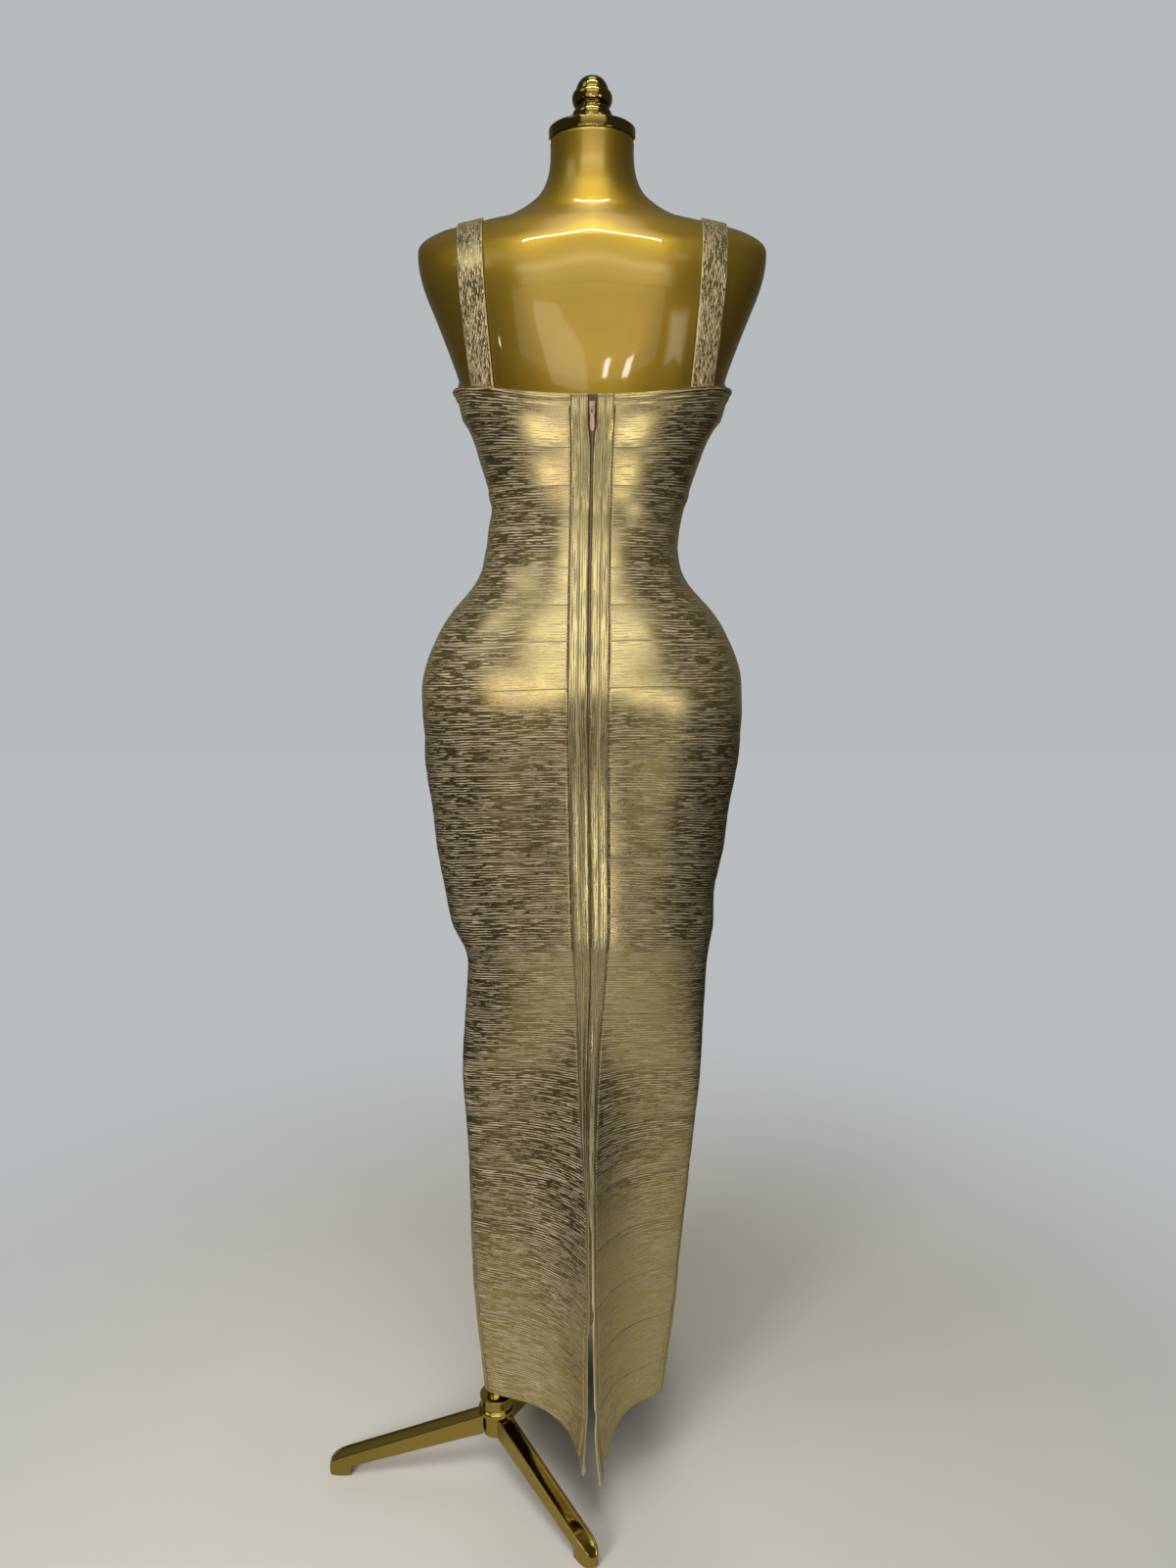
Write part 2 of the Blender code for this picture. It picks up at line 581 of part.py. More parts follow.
def slider_place():
    """Pivot of the zip pull and the slant of the zip there."""
    low = cloth_points(SLIDER_HEIGHT - 0.006, 0.0, 0.0, 0.0, 0.0, SEAM_GAP)[0]
    high = cloth_points(SLIDER_HEIGHT + 0.006, 0.0, 0.0, 0.0, 0.0, SEAM_GAP)[0]
    slant = math.atan2(high.y - low.y, high.z - low.z)
    middle = (low + high) / 2
    out = SEAM_GAP + SLIDER_DEPTH + PIVOT_ABOVE_SLIDER
    return middle + Vector((0.0, math.cos(slant), -math.sin(slant))) * out, slant


def zip_slider(name, material, parent):
    """Slider body with the bridge that carries the pull, joined into one solid."""
    pivot, slant = slider_place()
    mesh = bmesh.new()
    bmesh.ops.create_cube(mesh, size=1.0)
    bmesh.ops.scale(mesh, vec=(SLIDER_WIDTH, SLIDER_DEPTH, SLIDER_LENGTH), verts=mesh.verts)
    drop = PIVOT_ABOVE_SLIDER + SLIDER_DEPTH / 2
    bmesh.ops.translate(mesh, vec=(0.0, -drop, 0.0), verts=mesh.verts)
    bmesh.ops.bevel(mesh, geom=mesh.edges[:], offset=0.0007, segments=2, affect="EDGES",
                    profile=0.5)
    data = bpy.data.meshes.new(name)
    mesh.to_mesh(data)
    mesh.free()
    slider = add_object(name, data, material, parent, pivot)
    slider.rotation_euler = (-slant, 0.0, 0.0)
    bridge = bridge_mesh(parent, pivot, slant)
    union = slider.modifiers.new("Bridge", "BOOLEAN")
    union.operation = "UNION"
    union.solver = "EXACT"
    union.object = bridge
    return slider


def bridge_mesh(parent, pivot, slant):
    """Bent wire over the slider, as a mesh among the cutters."""
    foot = -PIVOT_ABOVE_SLIDER - 0.0008
    path = ((-BRIDGE_HALF_LENGTH, foot), (-BRIDGE_HALF_LENGTH, 0.0006),
            (-0.6 * BRIDGE_HALF_LENGTH, BRIDGE_RISE - 0.0003), (0.0, BRIDGE_RISE),
            (0.6 * BRIDGE_HALF_LENGTH, BRIDGE_RISE - 0.0003), (BRIDGE_HALF_LENGTH, 0.0006),
            (BRIDGE_HALF_LENGTH, foot))
    curve = bpy.data.curves.new("bridge_wire", "CURVE")
    curve.dimensions = "3D"
    curve.bevel_depth = BRIDGE_RADIUS
    curve.bevel_resolution = 2
    curve.use_fill_caps = True
    spline = curve.splines.new("POLY")
    spline.points.add(len(path) - 1)
    for point, (up, out) in zip(spline.points, path):
        point.co = (0.0, out, up, 1.0)
    wire = bpy.data.objects.new("bridge_wire", curve)
    CUTTERS.objects.link(wire)
    bpy.context.view_layer.update()
    graph = bpy.context.evaluated_depsgraph_get()
    data = bpy.data.meshes.new_from_object(wire.evaluated_get(graph))
    bpy.data.objects.remove(wire)
    mesh = bmesh.new()
    mesh.from_mesh(data)
    bmesh.ops.remove_doubles(mesh, verts=mesh.verts, dist=0.00001)
    bmesh.ops.recalc_face_normals(mesh, faces=mesh.faces)
    mesh.to_mesh(data)
    mesh.free()
    bridge = bpy.data.objects.new("zip_bridge", data)
    bridge.parent = parent
    bridge.location = pivot
    bridge.rotation_euler = (-slant, 0.0, 0.0)
    bridge.hide_render = True
    bridge.display_type = "WIRE"
    CUTTERS.objects.link(bridge)
    return bridge


def zip_pull(name, material, parent):
    """Drop-shaped pull with a window whose top bar lies under the slider's bridge."""
    pivot, _ = slider_place()
    curve = bpy.data.curves.new(name, "CURVE")
    curve.dimensions = "2D"
    curve.fill_mode = "BOTH"
    curve.extrude = PULL_BAR
    belly = PULL_LENGTH - PULL_BELLY
    outline = [(PULL_NECK, PULL_BAR), (PULL_NECK, -PULL_WINDOW_END), (0.8 * PULL_NECK, -0.0085)]
    outline.append((PULL_BELLY * 0.92, -0.8 * belly))
    for step in range(7):
        angle = math.pi * step / 6
        outline.append((PULL_BELLY * math.cos(angle), -belly - PULL_BELLY * math.sin(angle)))
    outline += [(-x, y) for x, y in reversed(outline[:4])]
    window = [(PULL_WINDOW, -PULL_BAR), (PULL_WINDOW, -PULL_WINDOW_END),
              (-PULL_WINDOW, -PULL_WINDOW_END), (-PULL_WINDOW, -PULL_BAR)]
    for points in (outline, window):
        spline = curve.splines.new("POLY")
        spline.points.add(len(points) - 1)
        spline.use_cyclic_u = True
        for point, (x, y) in zip(spline.points, points):
            point.co = (x, y, 0.0, 1.0)
    pull = bpy.data.objects.new(name, curve)
    pull.parent = parent
    pull.location = pivot
    pull.rotation_euler = (math.radians(90), 0.0, 0.0)
    curve.materials.append(material)
    PARTS.objects.link(pull)
    return pull


def form_bvh():
    """The form's outer faces, for the straps to lie on."""
    heights = (FORM_BOTTOM,) + FORM_HEIGHTS + (NECK_TOP,)
    points = [point for height in heights for point in form_ring(height)]
    faces = []
    for row in range(len(heights) - 1):
        for column in range(FORM_COLUMNS):
            right = (column + 1) % FORM_COLUMNS
            low, high = row * FORM_COLUMNS, (row + 1) * FORM_COLUMNS
            faces.append((low + column, low + right, high + right, high + column))
    return BVHTree.FromPolygons(points, faces)


def strap_point(form, x, angle):
    """Form point met by a ray in the plane of constant x; angle 0 points back, 90 degrees up."""
    start = Vector((x, 0.0, STRAP_RAY_HEIGHT))
    way = Vector((0.0, math.cos(angle), math.sin(angle)))
    return form.ray_cast(start, way)[0]


def strap_end_angle(form, x, height, facing):
    """Ray angle that meets the body at a height, behind or in front."""
    low, high = (-80.0, 0.0) if facing > 0 else (180.0, 250.0)
    for _ in range(30):
        middle = (low + high) / 2
        if (strap_point(form, x, math.radians(middle)).z < height) == (facing > 0):
            low = middle
        else:
            high = middle
    return math.radians((low + high) / 2)


def strap(name, side, material, parent):
    """Strap from inside the back's top edge over the shoulder to inside the front's."""
    form = form_bvh()
    start = strap_end_angle(form, side * STRAP_BACK_X, STRAP_BACK_END, 1)
    stop = strap_end_angle(form, side * STRAP_FRONT_X, STRAP_FRONT_END, -1)
    grid = []
    for row in range(STRAP_ROWS + 1):
        angle = start + (stop - start) * row / STRAP_ROWS
        to_top = min(max((angle - start) / (math.pi / 2 - start), 0.0), 1.0)
        past_top = min(max((angle - math.pi / 2) / (stop - math.pi / 2), 0.0), 1.0)
        middle = STRAP_BACK_X + (STRAP_TOP_X - STRAP_BACK_X) * to_top ** 0.6
        middle += (STRAP_FRONT_X - STRAP_TOP_X) * past_top ** 1.5
        xs = [side * (middle + STRAP_WIDTH * (column / STRAP_COLUMNS - 0.5))
              for column in range(STRAP_COLUMNS + 1)]
        grid.append([strap_point(form, x, angle) for x in xs])
    under, over = [], []
    for row in range(STRAP_ROWS + 1):
        under_row, over_row = [], []
        for column in range(STRAP_COLUMNS + 1):
            along = grid[min(row + 1, STRAP_ROWS)][column] - grid[max(row - 1, 0)][column]
            across = grid[row][min(column + 1, STRAP_COLUMNS)] - grid[row][max(column - 1, 0)]
            outward = along.cross(across).normalized() * side
            point = grid[row][column] + outward * STRAP_EASE
            under_row.append(point)
            over_row.append(point + outward * STRAP_WALL)
        under.append(under_row)
        over.append(over_row)
    return add_object(name, wall_mesh(name, under, over), material, parent, smooth_angle=50)


# ---- form and stand -----------------------------------------------------------------------------
def form_point(height, turn, inset=0.0):
    """Point of the form's outer face, slimmer where the dress covers it."""
    point, _, outward = body_frame(height, turn)
    ease = FORM_EASE * ramp(top_edge(turn) - height, FORM_EASE_FROM, FORM_EASE_TO)
    flat = Vector((outward.x, outward.y, 0.0)).normalized()
    return point - flat * (ease + inset)


def form_ring(height, inset=0.0):
    turns = [2 * math.pi * column / FORM_COLUMNS for column in range(FORM_COLUMNS)]
    return [form_point(height, math.remainder(turn, 2 * math.pi), inset) for turn in turns]


def form_shell(name, material, parent):
    """Limbless torso: one hollow moulding, open at the neck and at the thighs."""
    heights = (FORM_BOTTOM,) + FORM_HEIGHTS + (NECK_TOP,)
    mesh = bmesh.new()
    rings = [[mesh.verts.new(point) for point in form_ring(height)] for height in heights]
    for low, high in zip(rings, rings[1:]):
        for column in range(FORM_COLUMNS):
            right = (column + 1) % FORM_COLUMNS
            mesh.faces.new((low[column], high[column], high[right], low[right]))
    bmesh.ops.recalc_face_normals(mesh, faces=mesh.faces)
    data = bpy.data.meshes.new(name)
    mesh.to_mesh(data)
    mesh.free()
    shell = add_object(name, data, material, parent, smooth_angle=60)
    solidify = shell.modifiers.new("Shell", "SOLIDIFY")
    solidify.thickness = FORM_WALL
    solidify.offset = -1.0
    return shell


def base_plate(name, material, parent):
    """Flat plate that closes the form's underside, with a hole for the pole socket."""
    outline = form_ring(FORM_BOTTOM, FORM_WALL + PLATE_GAP)
    curve = bpy.data.curves.new(name, "CURVE")
    curve.dimensions = "2D"
    curve.fill_mode = "BOTH"
    curve.extrude = PLATE_THICKNESS / 2
    hole_radius = SOCKET_RADIUS + BORE_CLEARANCE
    hole = []
    for step in range(FACE_SEGMENTS):
        angle = 2 * math.pi * step / FACE_SEGMENTS
        hole.append((POLE_X + hole_radius * math.cos(angle), hole_radius * math.sin(angle)))
    for points in ([(point.x, point.y) for point in outline], hole):
        spline = curve.splines.new("POLY")
        spline.points.add(len(points) - 1)
        spline.use_cyclic_u = True
        for point, (x, y) in zip(spline.points, points):
            point.co = (x, y, 0.0, 1.0)
    plate = bpy.data.objects.new(name, curve)
    plate.parent = parent
    plate.location = (0.0, 0.0, FORM_BOTTOM + 0.0005 + PLATE_THICKNESS / 2)
    curve.materials.append(material)
    PARTS.objects.link(plate)
    return plate


def pole_socket(name, material, parent):
    """Cup fixed in the form's underside, which drops over the pole."""
    bore = POLE_RADIUS + BORE_CLEARANCE
    flange_top = FORM_BOTTOM + 0.0005 - SEAM_GAP
    flange_bottom = flange_top - FLANGE_THICKNESS
    profile = ((0.0, SOCKET_TOP), (SOCKET_RADIUS, SOCKET_TOP), (SOCKET_RADIUS, flange_top),
               (FLANGE_RADIUS, flange_top), (FLANGE_RADIUS, flange_bottom), (bore, flange_bottom),
               (bore, SOCKET_TOP - SOCKET_LID), (0.0, SOCKET_TOP - SOCKET_LID))
    return turned(name, profile, material, parent, (POLE_X, 0.0, 0.0))


def pole(name, material, parent):
    """Tube from the hub up into the form's socket."""
    top = SOCKET_TOP - SOCKET_LID - SEAM_GAP
    profile = ((POLE_RADIUS, top), (POLE_RADIUS, POLE_BOTTOM), (POLE_BORE, POLE_BOTTOM),
               (POLE_BORE, top))
    return turned(name, profile, material, parent, (POLE_X, 0.0, 0.0), closed=True)


def hub(name, material, parent):
    """Boss that holds the pole and the three legs."""
    bore = POLE_RADIUS + BORE_CLEARANCE
    profile = ((HUB_RADIUS, HUB_TOP), (HUB_RADIUS, HUB_FLARE_TOP + 0.004),
               (HUB_FLARE_RADIUS, HUB_FLARE_TOP - 0.001), (HUB_FLARE_RADIUS, HUB_FLARE_BOTTOM),
               (HUB_CORE_RADIUS, HUB_FLARE_BOTTOM), (HUB_CORE_RADIUS, HUB_BOTTOM),
               (bore, HUB_BOTTOM), (bore, HUB_TOP))
    return turned(name, profile, material, parent, (POLE_X, 0.0, 0.0), closed=True)


def collar(name, material, parent):
    """Ring on top of the hub."""
    bore = POLE_RADIUS + BORE_CLEARANCE
    bottom = HUB_TOP + SEAM_GAP
    profile = ((COLLAR_RADIUS - 0.001, COLLAR_TOP), (COLLAR_RADIUS, COLLAR_TOP - 0.001),
               (COLLAR_RADIUS, bottom + 0.001), (COLLAR_RADIUS - 0.001, bottom),
               (bore, bottom), (bore, COLLAR_TOP))
    return turned(name, profile, material, parent, (POLE_X, 0.0, 0.0), closed=True)


def leg_half_width(along):
    """Half width of a leg, by distance from the pole's axis."""
    return read_straight(LEG_HALF_WIDTHS, ("along", "half"), along)["half"]


def leg(name, angle, material, parent):
    """Cast leg: a side outline with its foot step, given width and a rounded nose."""
    mesh = bmesh.new()
    outline = [mesh.verts.new((along, 1.0, height)) for along, height in LEG_OUTLINE]
    face = mesh.faces.new(outline)
    spread = bmesh.ops.extrude_face_region(mesh, geom=[face])
    for item in spread["geom"]:
        if isinstance(item, bmesh.types.BMVert):
            item.co.y = -1.0
    for corner in mesh.verts:
        corner.co.y *= leg_half_width(corner.co.x)
    bmesh.ops.recalc_face_normals(mesh, faces=mesh.faces)
    data = bpy.data.meshes.new(name)
    mesh.to_mesh(data)
    mesh.free()
    thing = add_object(name, data, material, parent, (POLE_X, 0.0, 0.0), smooth_angle=40)
    thing.rotation_euler = (0.0, 0.0, math.radians(angle))
    rounding = thing.modifiers.new("Rounding", "BEVEL")
    rounding.width = LEG_ROUNDING
    rounding.segments = 2
    rounding.limit_method = "ANGLE"
    rounding.angle_limit = math.radians(40)
    return thing


def floor_middle():
    """Middle of the assembly's footprint, from the feet and the shoulders."""
    ends = [Vector((row[1], 0.0, 0.0)) for row in SECTIONS]
    ends += [Vector((-row[2], 0.0, 0.0)) for row in SECTIONS]
    for angle in LEG_ANGLES.values():
        turn = Matrix.Rotation(math.radians(angle), 3, "Z")
        for along, _ in LEG_OUTLINE:
            half = leg_half_width(along) - 0.4 * LEG_ROUNDING
            for side in (1, -1):
                ends.append(turn @ Vector((along, side * half, 0.0)) + Vector((POLE_X, 0.0, 0.0)))
    xs = [end.x for end in ends]
    ys = [end.y for end in ends]
    return Vector(((min(xs) + max(xs)) / 2, (min(ys) + max(ys)) / 2, 0.0))


# ---- assembly -----------------------------------------------------------------------------------
def clear_scene():
    for thing in list(bpy.data.objects):
        bpy.data.objects.remove(thing, do_unlink=True)


def add_collection(name):
    collection = bpy.data.collections.new(name)
    bpy.context.scene.collection.children.link(collection)
    return collection


def build():
    carrier = bpy.data.objects.new("assembly_middle", None)
    carrier.location = -floor_middle()
    PARTS.objects.link(carrier)
    foil = paint("foil_knit", (0.62, 0.47, 0.20), 0.75, 0.38)
    foil_upright = paint("foil_knit_upright", (0.66, 0.51, 0.25), 0.75, 0.36)
    tape = paint("zip_tape", (0.55, 0.38, 0.32), 0.0, 0.75)
    zip_metal = paint("zip_metal", (0.72, 0.52, 0.42), 0.1, 0.40)
    lacquer = paint("gold_lacquer", (0.58, 0.40, 0.10), 0.55, 0.22, coat=1.0)
    brass = paint("polished_gold", (0.86, 0.66, 0.28), 1.0, 0.10)
    steel = paint("socket_steel", (0.55, 0.55, 0.55), 1.0, 0.35)

    front_panel("front_panel", foil, carrier)
    for word, side in (("left", 1), ("right", -1)):
        back_panel("back_panel_" + word, side, foil, carrier)
        placket("placket_" + word, side, foil_upright, carrier)
        zip_tape("zip_tape_" + word, side, tape, carrier)
        strap("strap_" + word, side, foil_upright, carrier)
    top_binding("top_binding", foil, carrier)
    zip_slider("zip_slider", zip_metal, carrier)
    zip_pull("zip_pull", zip_metal, carrier)

    form_shell("form_shell", lacquer, carrier)
    base_plate("form_base_plate", lacquer, carrier)
    pole_socket("pole_socket", steel, carrier)
    cap_bottom = NECK_TOP + SEAM_GAP
    turned("neck_cap", CAP_PROFILE, brass, carrier, (0.0, 0.0, cap_bottom))
    cap_top = cap_bottom + CAP_PROFILE[0][1]
    turned("finial", FINIAL_PROFILE, brass, carrier, (0.0, 0.0, cap_top + SEAM_GAP))

    pole("pole", brass, carrier)
    hub("hub", brass, carrier)
    collar("hub_collar", brass, carrier)
    for name, angle in LEG_ANGLES.items():
        leg(name, angle, brass, carrier)


clear_scene()
PARTS = add_collection("bodycon_dress_on_form")
CUTTERS = add_collection("cutters")
build()
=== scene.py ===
"""Bodycon dress of foil-printed bandage knit on a lacquered, limbless dress form and its gold stand.

Run as a script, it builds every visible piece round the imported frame.  The sidebar panel lists one
operator for each group of pieces.  Lengths are metres; the wearer's left is +X, the back +Y.
"""
import functools
import json
import math
import random

import bmesh
import bpy
import numpy as np
from mathutils import Matrix, Vector, noise
from mathutils.bvhtree import BVHTree


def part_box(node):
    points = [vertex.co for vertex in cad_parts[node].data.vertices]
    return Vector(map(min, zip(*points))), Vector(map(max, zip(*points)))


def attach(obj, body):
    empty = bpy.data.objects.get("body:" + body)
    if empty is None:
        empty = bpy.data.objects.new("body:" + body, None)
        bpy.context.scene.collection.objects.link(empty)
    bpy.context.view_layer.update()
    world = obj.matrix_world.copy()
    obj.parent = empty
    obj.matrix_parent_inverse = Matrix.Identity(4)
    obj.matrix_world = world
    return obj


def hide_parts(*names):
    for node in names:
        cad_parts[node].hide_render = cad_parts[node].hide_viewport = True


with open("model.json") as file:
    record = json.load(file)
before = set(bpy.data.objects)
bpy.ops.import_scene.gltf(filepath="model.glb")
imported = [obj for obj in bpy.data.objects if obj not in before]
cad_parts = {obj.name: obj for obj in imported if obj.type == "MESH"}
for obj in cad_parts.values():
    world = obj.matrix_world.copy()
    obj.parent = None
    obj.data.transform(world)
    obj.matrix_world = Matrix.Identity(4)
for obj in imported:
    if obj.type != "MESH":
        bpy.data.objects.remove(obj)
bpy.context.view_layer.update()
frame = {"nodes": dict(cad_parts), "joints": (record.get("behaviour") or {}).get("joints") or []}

bl_info = {
    "name": "Foil knit dress on a dress form",
    "version": (1, 0, 0),
    "blender": (4, 5, 0),
    "location": "3D View > Sidebar > Dress",
    "description": "Builds a foil-knit bodycon dress on a limbless dress form with a tripod stand",
    "category": "Add Mesh",
}

MAIN_BODY = "dressed_form"
PULL_BODY = "zip_pull"


def middle_of(node):
    low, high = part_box(node)
    return (low + high) / 2


AXIS = Vector((middle_of("neck_cap").x, middle_of("neck_cap").y, 0.0))
POLE = Vector((middle_of("pole").x, middle_of("pole").y, 0.0))
NECK_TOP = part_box("form_shell")[1].z
FORM_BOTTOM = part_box("form_shell")[0].z
FINIAL_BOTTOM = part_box("finial")[0].z
POLE_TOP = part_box("pole")[1].z
HUB_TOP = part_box("hub")[1].z
COLLAR_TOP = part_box("hub_collar")[1].z

# ---- body and dress, read by height from the form's own axis ----
# height, left, right, front, back, widest, square, prow
SECTIONS = np.array((
    (0.0500, 0.1335, 0.0870, 0.1200, 0.0200, 0.000, 3.00, 0.088),
    (0.1080, 0.1360, 0.0905, 0.1215, 0.0205, 0.000, 3.00, 0.092),
    (0.2250, 0.1456, 0.1038, 0.1245, 0.0205, 0.000, 3.00, 0.097),
    (0.3000, 0.1490, 0.1095, 0.1255, 0.0200, 0.000, 3.00, 0.094),
    (0.4300, 0.1507, 0.1208, 0.1265, 0.0195, 0.000, 2.90, 0.072),
    (0.5470, 0.1560, 0.1310, 0.1245, 0.0270, 0.000, 2.60, 0.040),
    (0.6200, 0.1515, 0.1335, 0.1210, 0.0480, 0.000, 2.35, 0.014),
    (0.6900, 0.1470, 0.1365, 0.1170, 0.0725, 0.000, 2.20, 0.0),
    (0.7120, 0.1520, 0.1390, 0.1180, 0.0805, 0.000, 2.20, 0.0),
    (0.7350, 0.1640, 0.1430, 0.1190, 0.0860, 0.001, 2.20, 0.0),
    (0.7800, 0.1720, 0.1430, 0.1210, 0.0920, 0.002, 2.20, 0.0),
    (0.8300, 0.1800, 0.1525, 0.1220, 0.0990, 0.004, 2.20, 0.0),
    (0.8800, 0.1844, 0.1580, 0.1220, 0.1070, 0.005, 2.20, 0.0),
    (0.9300, 0.1910, 0.1665, 0.1200, 0.1150, 0.005, 2.20, 0.0),
    (0.9700, 0.1918, 0.1700, 0.1170, 0.1200, 0.005, 2.20, 0.0),
    (1.0100, 0.1935, 0.1702, 0.1140, 0.1220, 0.005, 2.20, 0.0),
    (1.0400, 0.1895, 0.1670, 0.1110, 0.1190, 0.004, 2.20, 0.0),
    (1.0750, 0.1760, 0.1540, 0.1070, 0.1110, 0.002, 2.20, 0.0),
    (1.1060, 0.1565, 0.1350, 0.1020, 0.1000, 0.000, 2.20, 0.0),
    (1.1400, 0.1290, 0.1052, 0.0970, 0.0860, -0.003, 2.02, 0.0),
    (1.1730, 0.1185, 0.0950, 0.0920, 0.0750, -0.006, 2.02, 0.0),
    (1.2000, 0.1150, 0.0970, 0.0890, 0.0700, -0.008, 2.02, 0.0),
    (1.2250, 0.1105, 0.1015, 0.0880, 0.0690, -0.008, 2.02, 0.0),
    (1.2860, 0.1265, 0.1220, 0.0940, 0.0810, -0.005, 2.20, 0.0),
    (1.3350, 0.1410, 0.1415, 0.1000, 0.0910, -0.003, 2.30, 0.0),
    (1.3655, 0.1496, 0.1494, 0.1010, 0.0955, -0.002, 2.35, 0.0),
    (1.4120, 0.1668, 0.1668, 0.0980, 0.0980, 0.000, 2.30, 0.0),
    (1.4580, 0.1848, 0.1848, 0.0860, 0.0968, 0.000, 2.15, 0.0),
    (1.4890, 0.1905, 0.1905, 0.0740, 0.0900, 0.000, 1.80, 0.0),
    (1.5040, 0.1864, 0.1864, 0.0670, 0.0825, 0.001, 1.50, 0.0),
    (1.5160, 0.1650, 0.1650, 0.0590, 0.0742, 0.002, 1.40, 0.0),
    (1.5220, 0.1390, 0.1390, 0.0550, 0.0690, 0.002, 1.42, 0.0),
    (1.5295, 0.0990, 0.0990, 0.0500, 0.0638, 0.001, 1.50, 0.0),
    (1.5450, 0.0665, 0.0665, 0.0460, 0.0572, 0.000, 1.75, 0.0),
    (1.5610, 0.0520, 0.0520, 0.0440, 0.0515, 0.000, 1.90, 0.0),
    (1.5850, 0.0455, 0.0455, 0.0445, 0.0468, 0.000, 2.00, 0.0),
    (1.6200, 0.0455, 0.0455, 0.0455, 0.0455, 0.000, 2.00, 0.0),
))
HEIGHT, LEFT, RIGHT, FRONT, BACK, WIDEST, SQUARE, PROW = range(8)
FRONT_SQUARE_MOST = 2.6
PROW_REACH = 0.33
# face, x, height, spread across, spread up, outward
SWELLS = (
    (-1, 0.075, 1.333, 0.060, 0.050, 0.034),
    (-1, -0.075, 1.333, 0.060, 0.050, 0.034),
    (1, 0.070, 1.430, 0.045, 0.050, 0.005),
    (1, -0.070, 1.430, 0.045, 0.050, 0.005),
    (1, 0.028, 1.175, 0.034, 0.070, 0.003),
)
# height, half gap between the plackets, half distance across both, where their middle runs
PLACKETS = np.array((
    (0.0500, 0.0100, 0.0150, 0.0000),
    (0.0800, 0.0075, 0.0120, 0.0005),
    (0.1050, 0.0050, 0.0090, 0.0008),
    (0.1520, 0.0032, 0.0066, 0.0000),
    (0.2500, 0.0020, 0.0052, 0.0008),
    (0.2850, 0.0006, 0.0036, 0.0000),
    (0.3780, 0.0004, 0.0034, 0.0006),
    (0.4100, 0.0004, 0.0040, 0.0012),
    (0.4700, 0.0004, 0.0062, 0.0040),
    (0.5350, 0.0004, 0.0096, 0.0045),
    (0.5950, 0.0003, 0.0124, 0.0040),
    (0.6500, 0.00015, 0.0150, 0.0028),
    (0.6900, 0.00015, 0.0170, 0.0020),
    (0.7500, 0.00015, 0.0205, 0.0020),
    (0.9760, 0.00015, 0.0210, 0.0045),
    (0.9900, 0.0014, 0.0212, 0.0044),
    (1.1500, 0.0014, 0.0214, 0.0028),
    (1.2805, 0.0014, 0.0215, 0.0005),
    (1.3080, 0.0042, 0.0225, 0.0),
    (1.3600, 0.0046, 0.0225, 0.0),
))
INNER, OUTER, MIDDLE = 1, 2, 3

SEAM_HEIGHTS = (1.2885, 1.243, 1.198, 1.153, 1.112, 1.072, 1.020, 0.968, 0.9225, 0.872, 0.818,
                0.747, 0.687, 0.6265, 0.5575, 0.491, 0.423, 0.357, 0.289, 0.225, 0.157)
FRONT_SEAM = 1.338
HEM_HEIGHT = 0.108
HEM_DROP = {1: 0.037, -1: 0.058}
HEM_DROP_REACH = 0.012
TOP_EDGE, TOP_EDGE_DIP, TOP_DIP_FROM = 1.352, 0.0165, 1.243
FRONT_RISE, FRONT_DIP = 0.048, 0.008
SEAM_LIFT, SEAM_LIFT_HEIGHT, SEAM_LIFT_SPREAD = 0.024, 0.78, 0.26
SEAM_TILT, SEAM_TILT_HEIGHT, SEAM_TILT_SPREAD = 0.0055, 1.02, 0.06
SIDE_SEAM_TURN, HEM_SEAM_TURN = math.radians(90), math.radians(74)
BINDING_WIDTH = 0.012

CLOTH_EASE, TOP_EASE, TOP_EASE_DEPTH = 0.0012, 0.0042, 0.045
SIDE_LIP, LIP_SPREAD = 0.0025, 0.010
SIDE_BUCKLE, BUCKLE_DEPTH, BUCKLE_SPREAD = 0.0022, 0.032, 0.014
FORM_EASE, FORM_EASE_FROM, FORM_EASE_TO = 0.003, 0.008, 0.050
FORM_WALL, SHOULDER_ROW = 0.003, 1.44

STRAP_EASE, STRAP_WALL = 0.0014, 0.0014
STRAP_BACK_X, STRAP_TOP_X, STRAP_FRONT_X = 0.112, 0.131, 0.103
STRAP_BACK_END, STRAP_FRONT_END, STRAP_RAY_HEIGHT = 1.318, 1.378, 1.43

# how far along the surface its slope is taken
NEAR = 0.002

ZIP_END = 0.984
PIVOT = next(Vector(joint["pos_m"]) for joint in frame["joints"])
FACING = {"left": 1, "right": -1}


# ---- settings ----
def length(name, default, description):
    return bpy.props.FloatProperty(name=name, description=description, default=default,
                                   subtype="DISTANCE", unit="LENGTH", precision=4)


def colour(name, default, description):
    return bpy.props.FloatVectorProperty(name=name, description=description, default=default,
                                         subtype="COLOR", size=3, min=0.0, max=1.0)


